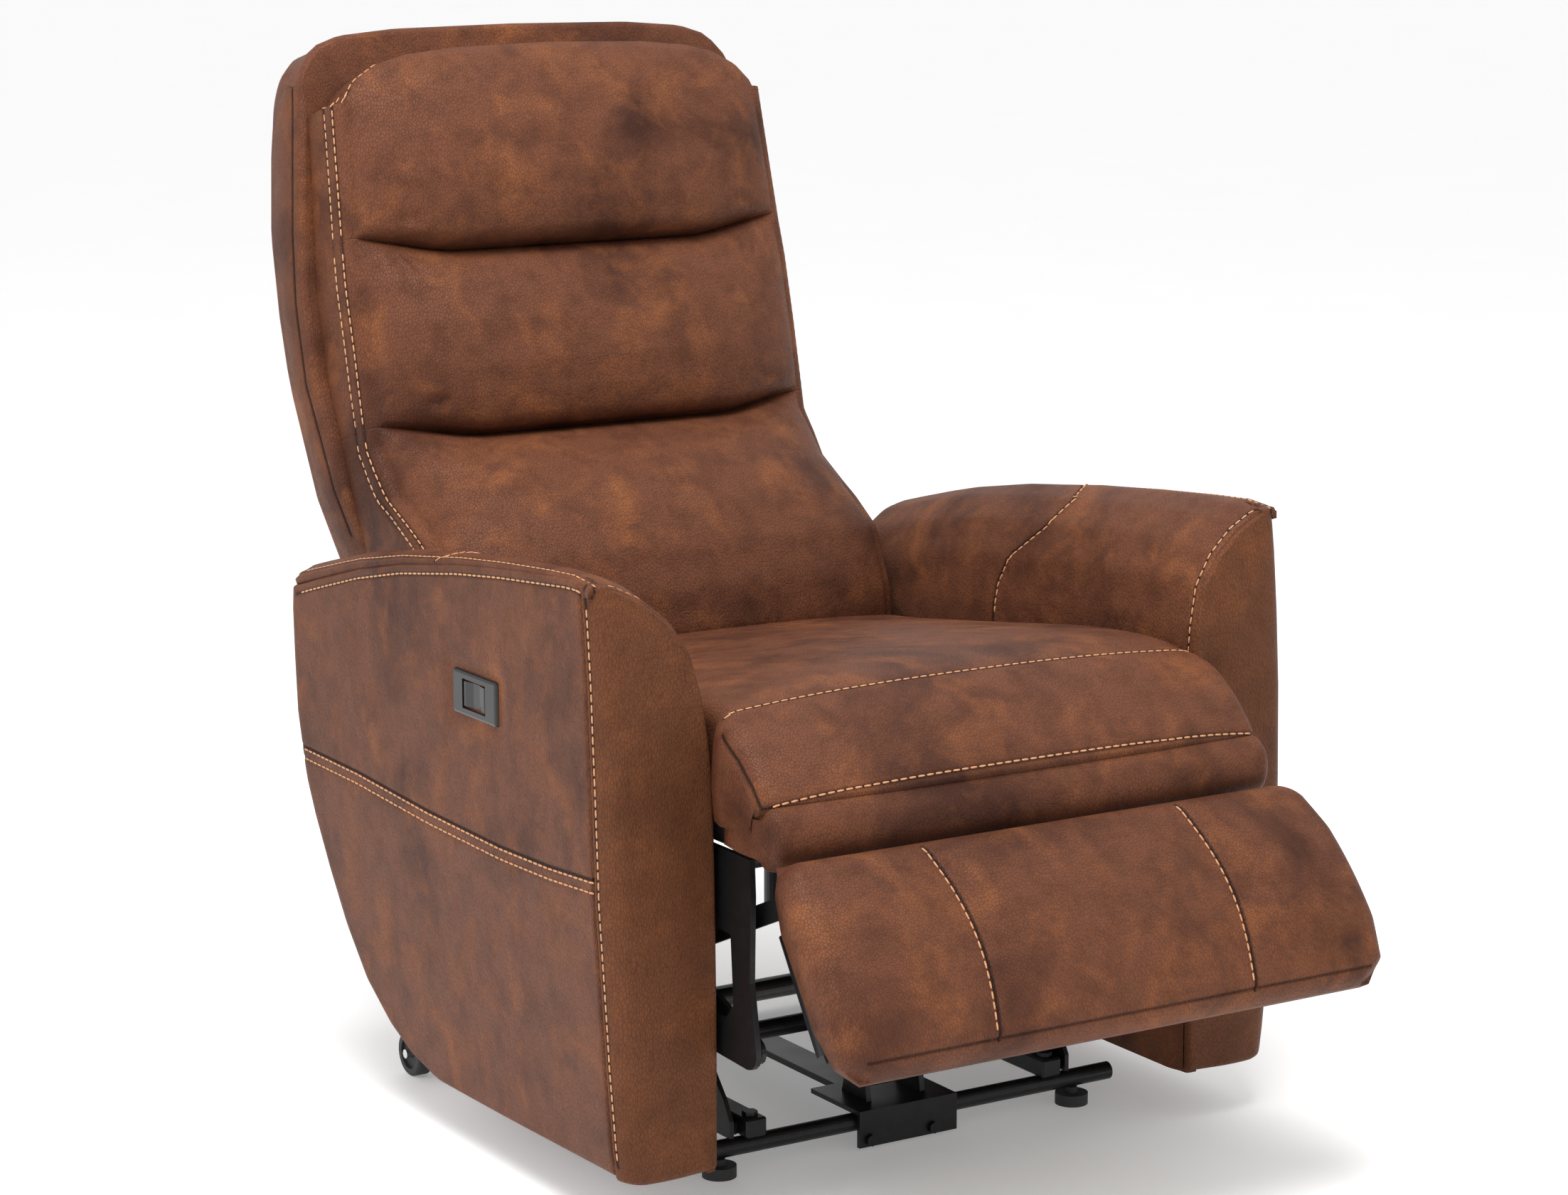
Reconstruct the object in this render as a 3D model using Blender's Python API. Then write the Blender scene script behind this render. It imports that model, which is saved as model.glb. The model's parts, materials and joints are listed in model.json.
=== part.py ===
"""Lift recliner chair: base, lift links, seat with arms, reclining back and footrest.

Metres, +Z up. The chair faces -Y. Every y below is measured from the front tube of the
base, and the empty chair_origin moves the whole design so that the chair is centred on
the origin. Left is -X.
"""

from math import cos, radians, sin

import bmesh
import bpy
from mathutils import Matrix, Vector

# ---------------------------------------------------------------- driving dimensions
HALF_WIDTH = 0.410
ARM_INNER = 0.281
CENTRE_Y = 0.2581
GAP = 0.0003

FRONT_TUBE_RADIUS = 0.0095
FRONT_TUBE_HEIGHT = 0.028
FOOT_RADIUS = 0.0175
RAIL_INNER = 0.170
RAIL_OUTER = 0.194
RAIL_BOTTOM = FRONT_TUBE_HEIGHT + FRONT_TUBE_RADIUS + GAP
RAIL_TOP = RAIL_BOTTOM + 0.020
REAR_TUBE_RADIUS = 0.0125
WHEEL_RADIUS = 0.025
WHEEL_AXLE_Y = 0.456
WHEEL_INNER = 0.315
WHEEL_OUTER = 0.334

# Pivots of the lift, as (y, z).
LOWER_LINK_BASE = (0.0300, 0.0640)
LOWER_LINK_TOP = (0.2882, 0.1429)
UPPER_LINK_BASE = (0.0600, 0.0900)
UPPER_LINK_TOP = (0.3800, 0.2000)
LIFT_ROD_TOP = (0.0698, 0.3016)

# Pivots of the footrest.
FOOT_LINK_BASE = (-0.1554, 0.1803)
FOOT_LINK_KNEE = (0.0137, 0.2407)
FOOTREST_TOP = (-0.2490, 0.3920)
FOOTREST_SLOPE = 50.0
FOOTREST_LENGTH = 0.214
FOOTREST_HALF_WIDTH = 0.288
FOOTREST_PIVOT = (0.0201, 0.0503)

# Pivots of the back.
BACK_HINGE = (0.4400, 0.3700)
BACK_LEVER = (0.4980, 0.3160)
RECLINE_PIVOT = (0.1850, 0.3070)
BACK_REFERENCE = (0.6100, 0.6860)
BACK_LEAN = 19.0
SHELL_FRONT = 0.0550
SHELL_REAR = 0.1500

SIDE_PLATE_INNER = 0.2745
SIDE_PLATE_OUTER = 0.2805
PIN_RADIUS = 0.006
PIN_CLEARANCE = 0.0004
OPEN_PIVOT_CLEARANCE = 0.0010
LINK_HALF_WIDTH = 0.0125
CROSS_TUBE_RADIUS = 0.011

SWITCH_CENTRE = (0.147, 0.486)

# ---------------------------------------------------------------- colours
LEATHER = (0.205, 0.105, 0.060)
LEATHER_DARK = (0.150, 0.078, 0.047)
SATIN_BLACK = (0.018, 0.018, 0.019)
STEEL = (0.560, 0.560, 0.550)
RUBBER = (0.025, 0.025, 0.025)
WOOD = (0.520, 0.370, 0.220)
GREY_PLASTIC = (0.110, 0.110, 0.115)


# ---------------------------------------------------------------- scene helpers
def clear_scene():
    for thing in list(bpy.data.objects):
        bpy.data.objects.remove(thing, do_unlink=True)


def material(name, colour, roughness, metallic=0.0):
    made = bpy.data.materials.new(name)
    made.use_nodes = True
    shader = made.node_tree.nodes["Principled BSDF"]
    shader.inputs["Base Color"].default_value = (*colour, 1.0)
    shader.inputs["Roughness"].default_value = roughness
    shader.inputs["Metallic"].default_value = metallic
    made.diffuse_color = (*colour, 1.0)
    return made


def body_empty(name, pivot, parent=None):
    """An empty on a joint's axis, placed in the design's own coordinates."""
    empty = bpy.data.objects.new(name, None)
    empty.empty_display_size = 0.05
    bpy.context.collection.objects.link(empty)
    spot = Vector((0.0, pivot[0], pivot[1])) if len(pivot) == 2 else Vector(pivot)
    empty["spot"] = spot
    if parent is not None:
        empty.parent = parent
        empty.location = spot - Vector(parent["spot"])
    return empty


def add_piece(name, mesh, body, finish):
    """One named object from a bmesh in design coordinates, with its origin on its body's axis."""
    bmesh.ops.recalc_face_normals(mesh, faces=mesh.faces)
    bmesh.ops.translate(mesh, vec=-Vector(body["spot"]), verts=mesh.verts)
    data = bpy.data.meshes.new(name)
    mesh.to_mesh(data)
    mesh.free()
    piece = bpy.data.objects.new(name, data)
    bpy.context.collection.objects.link(piece)
    piece.parent = body
    data.materials.append(material(name, *finish))
    return piece


# ---------------------------------------------------------------- shapes
def block(low, high, bevel=0.0, segments=2):
    """A box between two corners, with rounded edges if bevel is given."""
    mesh = bmesh.new()
    bmesh.ops.create_cube(mesh, size=1.0)
    size = Vector(high) - Vector(low)
    bmesh.ops.scale(mesh, vec=size, verts=mesh.verts)
    bmesh.ops.translate(mesh, vec=(Vector(high) + Vector(low)) / 2, verts=mesh.verts)
    if bevel:
        round_edges(mesh, bevel, segments)
    return mesh


def round_edges(mesh, width, segments=2):
    bmesh.ops.bevel(
        mesh, geom=mesh.edges[:], offset=width, segments=segments, profile=0.5, affect="EDGES"
    )


def slab(outline, x_low, x_high, bevel=0.0, segments=2):
    """A (y, z) outline extruded along X."""
    mesh = bmesh.new()
    face = mesh.faces.new([mesh.verts.new((x_low, y, z)) for y, z in outline])
    made = bmesh.ops.extrude_face_region(mesh, geom=[face])
    far = [item for item in made["geom"] if isinstance(item, bmesh.types.BMVert)]
    bmesh.ops.translate(mesh, vec=(x_high - x_low, 0.0, 0.0), verts=far)
    if bevel:
        bmesh.ops.recalc_face_normals(mesh, faces=mesh.faces)
        ends = [edge for edge in mesh.edges if abs(edge.verts[0].co.x - edge.verts[1].co.x) < 1e-6]
        bmesh.ops.bevel(
            mesh, geom=ends, offset=bevel, segments=segments, profile=0.5, affect="EDGES"
        )
    return mesh


def rod(start, end, radius, sides=24):
    """A closed round bar between two points."""
    start = Vector(start)
    end = Vector(end)
    along = end - start
    mesh = bmesh.new()
    bmesh.ops.create_cone(
        mesh, cap_ends=True, segments=sides, radius1=radius, radius2=radius, depth=along.length
    )
    turn = along.to_track_quat("Z", "Y").to_matrix().to_4x4()
    bmesh.ops.transform(
        mesh, matrix=Matrix.Translation((start + end) / 2) @ turn, verts=mesh.verts
    )
    return mesh


def cross_rod(spot, x_low, x_high, radius, sides=24):
    """A round bar along X through a (y, z) spot."""
    return rod((x_low, *spot), (x_high, *spot), radius, sides)


def as_tool(mesh, name="tool"):
    """A bmesh made into a hidden object, to cut with or to join."""
    data = bpy.data.meshes.new(name)
    bmesh.ops.recalc_face_normals(mesh, faces=mesh.faces)
    mesh.to_mesh(data)
    mesh.free()
    tool = bpy.data.objects.new(name, data)
    bpy.context.collection.objects.link(tool)
    tool.hide_render = True
    tool.display_type = "WIRE"
    return tool


def combine(mesh, others, operation):
    """EXACT booleans of one bmesh with several others, as a new bmesh."""
    base = as_tool(mesh, "combined")
    tools = [as_tool(other) for other in others]
    for tool in tools:
        change = base.modifiers.new("boolean", "BOOLEAN")
        change.operation = operation
        change.solver = "EXACT"
        change.object = tool
    bpy.context.view_layer.update()
    seen = base.evaluated_get(bpy.context.evaluated_depsgraph_get())
    result = bmesh.new()
    result.from_mesh(seen.to_mesh())
    for thing in [base, *tools]:
        bpy.data.objects.remove(thing, do_unlink=True)
    bmesh.ops.remove_doubles(result, verts=result.verts, dist=0.00002)
    return result


def joined(mesh, *others):
    return combine(mesh, others, "UNION")


def cut(mesh, *others):
    return combine(mesh, others, "DIFFERENCE")


def span(side, inner, outer):
    """x_low and x_high of a part that lies between two distances from the centre."""
    return (inner, outer) if side > 0 else (-outer, -inner)


def arc(centre, radius, start, end, steps=6):
    """Points of an arc in the (y, z) plane, angles in degrees from +Y towards +Z."""
    angles = [radians(start + (end - start) * index / steps) for index in range(steps + 1)]
    return [(centre[0] + radius * cos(a), centre[1] + radius * sin(a)) for a in angles]


def link_outline(start, end, half_width):
    """A flat link with round ends."""
    along = Vector(end) - Vector(start)
    heading = Vector((1.0, 0.0)).angle_signed(along)
    tilt = -heading * 180.0 / 3.141592653589793
    return arc(start, half_width, tilt + 90, tilt + 270, 8) + arc(end, half_width, tilt - 90, tilt + 90, 8)


SIDES = (("left", -1), ("right", 1))


# ---------------------------------------------------------------- base
def build_base(base):
    black = (SATIN_BLACK, 0.38, 0.6)
    front = (0.0, FRONT_TUBE_HEIGHT)
    add_piece(
        "base_front_tube", cross_rod(front, -0.265, 0.265, FRONT_TUBE_RADIUS), base, black
    )
    rear = cross_rod((WHEEL_AXLE_Y, WHEEL_RADIUS), -0.308, 0.308, REAR_TUBE_RADIUS)
    bore = cross_rod((WHEEL_AXLE_Y, WHEEL_RADIUS), -0.32, 0.32, 0.0055, 16)
    add_piece("base_rear_tube", cut(rear, bore), base, black)
    axle = cross_rod((WHEEL_AXLE_Y, WHEEL_RADIUS), -0.338, 0.338, 0.005, 16)
    add_piece("wheel_axle", axle, base, (STEEL, 0.35, 1.0))
    bar = block((-0.020, 0.0775, 0.029), (0.020, 0.4430, 0.036), 0.001, 1)
    add_piece("base_centre_bar", bar, base, black)
    for word, side in SIDES:
        build_rail(base, word, side, black)
        build_front_foot(base, word, side)
        build_pivot_stand(base, word, side, black)
    build_motor_bracket(base, black)


def build_rail(base, word, side, finish):
    x_low, x_high = span(side, RAIL_INNER, RAIL_OUTER)
    beam = block((x_low, -0.014, RAIL_BOTTOM), (x_high, 0.470, RAIL_TOP), 0.002, 1)
    middle = (x_low + x_high) / 2
    head = rod((middle, 0.0, RAIL_TOP - 0.002), (middle, 0.0, RAIL_TOP + 0.0045), 0.008, 6)
    rear_head = rod((middle, 0.456, RAIL_TOP - 0.002), (middle, 0.456, RAIL_TOP + 0.0045), 0.008, 6)
    add_piece(f"base_rail_{word}", joined(beam, head, rear_head), base, finish)


def build_front_foot(base, word, side):
    x = side * 0.218
    pad = rod((x, 0.0, 0.0), (x, 0.0, 0.012), FOOT_RADIUS, 32)
    neck = rod((x, 0.0, 0.011), (x, 0.0, FRONT_TUBE_HEIGHT - FRONT_TUBE_RADIUS - GAP), 0.006, 16)
    add_piece(f"front_foot_{word}", joined(pad, neck), base, (RUBBER, 0.7, 0.0))


def build_pivot_stand(base, word, side, finish):
    """The upright plate of the base that holds both lift links, with its riveted pins."""
    outline = [(-0.006, 0.0385), (0.112, 0.0385), (0.112, 0.060), (0.092, 0.103), (0.060, 0.113),
               (0.030, 0.103), (0.006, 0.076), (-0.006, 0.056)]
    plate = slab(outline, *span(side, 0.2045, 0.2095))
    low, high = span(side, RAIL_OUTER + GAP, 0.2050)
    spacer = block((low, 0.004, 0.0385), (high, 0.104, 0.0500))
    lower_pin = cross_rod(LOWER_LINK_BASE, *span(side, 0.1955, 0.2085), PIN_RADIUS)
    upper_pin = cross_rod(UPPER_LINK_BASE, *span(side, 0.2055, 0.2185), PIN_RADIUS)
    add_piece(f"pivot_stand_{word}", joined(plate, spacer, lower_pin, upper_pin), base, finish)


def build_motor_bracket(base, finish):
    """A folded bracket over the front tube, with two cheeks, the motor's pin and two bolts."""
    top = RAIL_BOTTOM
    fold = [(-0.0155, 0.004), (-0.0105, 0.004), (-0.0105, top), (0.077, top), (0.077, top + 0.005),
            (-0.0155, top + 0.005)]
    plate = slab(fold, -0.060, 0.060)
    cheek = [(0.008, top + 0.003), (0.056, top + 0.003), (0.048, 0.070), (0.038, 0.078),
             (0.022, 0.078), (0.013, 0.070)]
    cheeks = [slab(cheek, low, low + 0.006) for low in (-0.036, 0.030)]
    pin = cross_rod(LOWER_LINK_BASE, -0.034, 0.034, PIN_RADIUS)
    bolts = [rod((x, -0.0130, 0.0115), (x, -0.0200, 0.0115), 0.0065, 6) for x in (-0.047, 0.030)]
    add_piece("lift_motor_bracket", joined(plate, *cheeks, pin, *bolts), base, finish)


def build_wheel(word, side, body):
    """A hard rubber wheel with a recessed hub, turning on the axle's end."""
    x_low, x_high = span(side, WHEEL_INNER, WHEEL_OUTER)
    centre = (WHEEL_AXLE_Y, WHEEL_RADIUS)
    disc = cross_rod(centre, x_low, x_high, WHEEL_RADIUS, 40)
    outer_x = side * WHEEL_OUTER
    rim = [edge for edge in disc.edges if abs(edge.verts[0].co.x - edge.verts[1].co.x) < 1e-6]
    bmesh.ops.bevel(disc, geom=rim, offset=0.002, segments=1, affect="EDGES")
    bore = cross_rod(centre, x_low - 0.01, x_high + 0.01, 0.0055, 16)
    dish = cross_rod(centre, outer_x - side * 0.004, outer_x + side * 0.01, 0.017, 32)
    add_piece(f"rear_wheel_{word}", cut(disc, bore, dish), body, (RUBBER, 0.6, 0.0))


# ---------------------------------------------------------------- lift
def pivoted_link(start, end, x_range, start_hole=0.0, end_hole=0.0, half_width=LINK_HALF_WIDTH):
    """A flat link, with a round hole at each end that turns on a pin."""
    plate = slab(link_outline(start, end, half_width), *x_range)
    low = x_range[0] - 0.005
    high = x_range[1] + 0.005
    holes = []
    for spot, radius in ((start, start_hole), (end, end_hole)):
        if radius:
            holes.append(cross_rod(spot, low, high, radius))
    return cut(plate, *holes) if holes else plate


def build_lift_links(lower, uppers):
    black = (SATIN_BLACK, 0.40, 0.6)
    running = PIN_RADIUS + PIN_CLEARANCE
    for word, side in SIDES:
        plate = pivoted_link(
            LOWER_LINK_BASE, LOWER_LINK_TOP, span(side, 0.1970, 0.2030), running, running
        )
        add_piece(f"lift_lower_link_{word}", plate, lower, black)
        plate = pivoted_link(
            UPPER_LINK_BASE, UPPER_LINK_TOP, span(side, 0.2110, 0.2170), running,
            PIN_RADIUS + OPEN_PIVOT_CLEARANCE,
        )
        add_piece(f"lift_upper_link_{word}", plate, uppers[word], black)
    along = Vector(LOWER_LINK_TOP) - Vector(LOWER_LINK_BASE)
    spot = Vector(LOWER_LINK_BASE) + along * 0.40
    tube = cross_rod(spot, -0.197 + GAP, 0.197 - GAP, 0.010)
    add_piece("lift_torque_tube", tube, lower, black)


def actuator_axis(start, end):
    """Unit vector from one pivot to the other, in the plane x = 0."""
    return (Vector((0.0, *end)) - Vector((0.0, *start))).normalized()


def build_lift_actuator(motor_body, rod_body):
    """The round motor post that stands behind the footrest, and the rod that it pushes out."""
    axis = actuator_axis(LOWER_LINK_BASE, LIFT_ROD_TOP)
    low = Vector((0.0, *LOWER_LINK_BASE))
    high = Vector((0.0, *LIFT_ROD_TOP))
    post = rod(low + axis * 0.016, low + axis * 0.205, 0.0255, 40)
    lug = rod(low - axis * 0.001, low + axis * 0.020, 0.0130, 24)
    eye = cross_rod(LOWER_LINK_BASE, -0.022, 0.022, 0.0125, 24)
    pin_hole = cross_rod(LOWER_LINK_BASE, -0.05, 0.05, PIN_RADIUS + PIN_CLEARANCE)
    bore = rod(low + axis * 0.030, low + axis * 0.230, 0.0135, 24)
    motor = cut(joined(post, lug, eye), pin_hole, bore)
    add_piece("lift_motor", motor, motor_body, ((0.030, 0.030, 0.032), 0.35, 0.3))
    ring = cross_rod(LIFT_ROD_TOP, -0.016, 0.016, 0.0170, 24)
    shaft = rod(low + axis * 0.045, high - axis * 0.013, 0.0110, 24)
    tube_hole = cross_rod(LIFT_ROD_TOP, -0.05, 0.05, CROSS_TUBE_RADIUS + PIN_CLEARANCE)
    add_piece("lift_rod", cut(joined(shaft, ring), tube_hole), rod_body, (STEEL, 0.25, 1.0))


# ---------------------------------------------------------------- seat
def side_plate_outline():
    front = arc(FOOT_LINK_BASE, 0.0165, 160, 270, 4)
    lower = [(-0.060, 0.168), (0.030, 0.196), (0.180, 0.214), (0.300, 0.208)]
    rear_lobe = arc(UPPER_LINK_TOP, 0.019, 250, 350, 4)
    rear = [(0.425, 0.250), (0.456, 0.340)]
    hinge_lobe = arc(BACK_HINGE, 0.018, -20, 150, 6)
    top = [(0.400, 0.3715), (-0.160, 0.3715), (-0.162, 0.335), (-0.160, 0.250)]
    return front + lower + rear_lobe + rear + hinge_lobe + top


def build_side_plate(word, side, seat):
    """The steel plate on each side of the seat, with the pins of every link that it carries."""
    plate = slab(side_plate_outline(), *span(side, SIDE_PLATE_INNER, SIDE_PLATE_OUTER))
    windows = (
        [(-0.130, 0.222), (-0.125, 0.290), (-0.030, 0.296), (-0.030, 0.215), (-0.070, 0.202),
         (-0.115, 0.204)],
        [(-0.008, 0.226), (-0.008, 0.298), (0.096, 0.300), (0.096, 0.252), (0.010, 0.230)],
    )
    through = span(side, SIDE_PLATE_INNER - 0.01, SIDE_PLATE_OUTER + 0.01)
    root = SIDE_PLATE_INNER + 0.002
    pins = [
        cross_rod(UPPER_LINK_TOP, *span(side, 0.2100, root), PIN_RADIUS),
        cross_rod(FOOT_LINK_BASE, *span(side, 0.2650, root), PIN_RADIUS),
        cross_rod(BACK_HINGE, *span(side, 0.2500, root), PIN_RADIUS),
    ]
    made = joined(cut(plate, *[slab(window, *through) for window in windows]), *pins)
    add_piece(f"seat_side_plate_{word}", made, seat, (SATIN_BLACK, 0.42, 0.6))


def hanger_parts(side):
    """The plate that hangs from the rear cross tube inside a lower lift link, and the link's pin."""
    plate = slab(link_outline(RECLINE_PIVOT, LOWER_LINK_TOP, 0.0165), *span(side, 0.1880, 0.1940))
    pin = cross_rod(LOWER_LINK_TOP, *span(side, 0.1895, 0.2045), PIN_RADIUS)
    return [plate, pin]


def build_seat_frame(seat):
    reach = SIDE_PLATE_INNER - GAP
    black = (SATIN_BLACK, 0.40, 0.6)
    add_piece("lift_cross_tube", cross_rod(LIFT_ROD_TOP, -reach, reach, CROSS_TUBE_RADIUS), seat, black)
    tube = cross_rod(RECLINE_PIVOT, -reach, reach, CROSS_TUBE_RADIUS)
    hangers = [part for _, side in SIDES for part in hanger_parts(side)]
    add_piece("recline_cross_tube", joined(tube, *hangers), seat, black)
    rail = block((-0.272, -0.190, 0.3720), (0.272, -0.152, 0.4090), 0.002, 1)
    add_piece("seat_front_rail", rail, seat, (WOOD, 0.7, 0.0))
    deck = block((-0.272, -0.1515, 0.3720), (0.272, 0.4000, 0.4090), 0.002, 1)
    add_piece("seat_deck", deck, seat, (WOOD, 0.7, 0.0))
    box = block((0.070, 0.215, 0.3260), (0.190, 0.345, 0.3715), 0.004, 2)
    add_piece("control_box", box, seat, (GREY_PLASTIC, 0.5, 0.0))


def seat_profile():
    """Seat cushion seen from the side: flat below, domed above, rolling over the front edge."""
    crown = [(0.402, 0.492), (0.340, 0.507), (0.220, 0.516), (0.060, 0.522), (-0.060, 0.520)]
    roll = [(-0.110, 0.510), (-0.150, 0.490), (-0.185, 0.462), (-0.212, 0.430)]
    return [(-0.200, 0.4265), (-0.1905, 0.4095), (0.402, 0.4095)] + crown + roll


def build_seat_cushion(seat):
    body = slab(seat_profile(), -0.279, 0.279)
    front = [(-0.128, 0.4600), (-0.128, 0.5010)] + seat_profile()[-3:] + [(-0.200, 0.4265), (-0.150, 0.4265)]
    roll = slab(front, -0.288, 0.288)
    add_piece("seat_cushion", joined(body, roll), seat, (LEATHER, 0.45, 0.0))
    outline = [(-0.2165, 0.4255), (-0.2190, 0.3900), (-0.2150, 0.3800), (-0.1960, 0.3800),
               (-0.1910, 0.3840), (-0.1910, 0.4085), (-0.2005, 0.4255)]
    apron = slab(outline, -0.286, 0.286)
    add_piece("seat_apron", apron, seat, (LEATHER_DARK, 0.5, 0.0))


# ---------------------------------------------------------------- arms
ARM_TOP = [(-0.066, 0.632), (-0.040, 0.641), (0.092, 0.632), (0.224, 0.618), (0.322, 0.602),
           (0.490, 0.566), (0.540, 0.544)]
ARM_REAR = [(0.563, 0.490), (0.556, 0.359), (0.527, 0.282), (0.460, 0.179), (0.406, 0.115),
            (0.343, 0.070), (0.270, 0.050)]
PAD_DEPTH = 0.046
FRONT_TOP = 0.5855


def front_edge(z):
    """The chord of the arm's slightly curved front edge."""
    return -0.112 + (z - 0.050) * 0.043


def front_curve(z):
    """The arm's front edge, which swells 5 mm ahead of its chord."""
    height = (z - 0.050) / (FRONT_TOP - 0.050)
    return front_edge(z) - 0.020 * height * (1.0 - height)


def arm_outline(front_inset, top_inset, rear_inset):
    """The arm's side outline, drawn in from its front, top and rear."""
    top = [(y, z - top_inset) for y, z in ARM_TOP if y > front_edge(z) + front_inset + 0.024]
    last_y, last_z = ARM_REAR[0]
    top = [(min(y, last_y - rear_inset - 0.004), z) for y, z in top]
    rear = [(y - rear_inset, min(z, last_z - top_inset * 0.5)) for y, z in ARM_REAR]
    start_z = top[0][1]
    return [(front_edge(0.050) + front_inset, 0.050), (front_edge(start_z) + front_inset, start_z)] + top + rear


def build_arm(word, side, seat):
    leather = (LEATHER, 0.45, 0.0)
    frame = slab(arm_outline(0.0285, PAD_DEPTH + 0.001, 0.006), *span(side, ARM_INNER, 0.3795))
    add_piece(f"arm_frame_{word}", frame, seat, (LEATHER_DARK, 0.5, 0.0))
    panel = slab(
        arm_outline(0.0285, PAD_DEPTH + 0.001, 0.0), *span(side, 0.3800, HALF_WIDTH), 0.010, 2
    )
    if side < 0:
        y, z = SWITCH_CENTRE
        pocket = block((-0.42, y - 0.0460, z - 0.0230), (-0.396, y + 0.0460, z + 0.0230), 0.004, 2)
        panel = cut(panel, pocket)
    add_piece(f"arm_side_panel_{word}", panel, seat, leather)
    heights = [0.050 + (FRONT_TOP - 0.050) * step / 6 for step in range(7)]
    front = [(front_curve(z), z) for z in heights]
    front += [(front_edge(FRONT_TOP) + 0.0275, FRONT_TOP), (front_edge(0.050) + 0.0275, 0.050)]
    add_piece(
        f"arm_front_panel_{word}", slab(front, *span(side, ARM_INNER, HALF_WIDTH), 0.008, 2),
        seat, leather,
    )
    first = (front_edge(0.590) + 0.001, FRONT_TOP + 0.0015)
    top = [(front_edge(0.590) - 0.002, 0.600)] + ARM_TOP
    below = [(y, z - PAD_DEPTH) for y, z in reversed(ARM_TOP[2:-1])]
    pad = slab([first, *top, (0.556, 0.500), *below], *span(side, ARM_INNER, HALF_WIDTH - 0.002), 0.008, 2)
    add_piece(f"arm_pad_{word}", pad, seat, leather)


def build_switch(seat, rocker_body):
    """The two-way switch in the left arm: an oval bezel and a rocker on a hinge along Z."""
    y, z = SWITCH_CENTRE
    bezel = block((-0.4098, y - 0.0455, z - 0.0225), (-0.3970, y + 0.0455, z + 0.0225), 0.003, 2)
    well = block((-0.42, y - 0.0240, z - 0.0150), (-0.4000, y + 0.0240, z + 0.0150))
    add_piece("switch_bezel", cut(bezel, well), seat, ((0.012, 0.012, 0.013), 0.18, 0.0))
    rocker = [(-0.0215, -0.4090), (-0.0180, -0.4090), (-0.0060, -0.4066), (0.0060, -0.4066),
              (0.0180, -0.4090), (0.0215, -0.4090), (0.0215, -0.4058), (0.0030, -0.4010),
              (-0.0030, -0.4010), (-0.0215, -0.4058)]
    mesh = bmesh.new()
    face = mesh.faces.new([mesh.verts.new((x, y + dy, z - 0.0125)) for dy, x in rocker])
    made = bmesh.ops.extrude_face_region(mesh, geom=[face])
    far = [item for item in made["geom"] if isinstance(item, bmesh.types.BMVert)]
    bmesh.ops.translate(mesh, vec=(0.0, 0.0, 0.025), verts=far)
    add_piece("switch_rocker", mesh, rocker_body, ((0.030, 0.030, 0.032), 0.3, 0.0))


# ---------------------------------------------------------------- back
def back_point(s, n):
    """A (y, z) spot from its distance up the back and its distance behind the back's front line."""
    lean = radians(BACK_LEAN)
    y = BACK_REFERENCE[0] + s * sin(lean) + n * cos(lean)
    z = BACK_REFERENCE[1] + s * cos(lean) - n * sin(lean)
    return (y, z)


def back_slab(spots, half_width, bevel=0.0, segments=2):
    """An outline in back coordinates, extruded along X."""
    return slab([back_point(s, n) for s, n in spots], -half_width, half_width, bevel, segments)


def upright_slab(outline, n_low, n_high):
    """An (x, s) outline in the plane of the back, extruded from n_low to n_high."""
    mesh = bmesh.new()
    face = mesh.faces.new([mesh.verts.new((x, *back_point(s, n_low))) for x, s in outline])
    made = bmesh.ops.extrude_face_region(mesh, geom=[face])
    far = [item for item in made["geom"] if isinstance(item, bmesh.types.BMVert)]
    lean = radians(BACK_LEAN)
    depth = n_high - n_low
    bmesh.ops.translate(mesh, vec=(0.0, depth * cos(lean), -depth * sin(lean)), verts=far)
    return mesh


def shell_outline():
    right = [(0.262, -0.285), (0.272, -0.200), (0.284, -0.120), (0.297, -0.050), (0.302, 0.070),
             (0.302, 0.160), (0.298, 0.240), (0.289, 0.340), (0.282, 0.395), (0.262, 0.434),
             (0.225, 0.453), (0.150, 0.458)]
    return right + [(-x, s) for x, s in reversed(right)]


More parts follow.
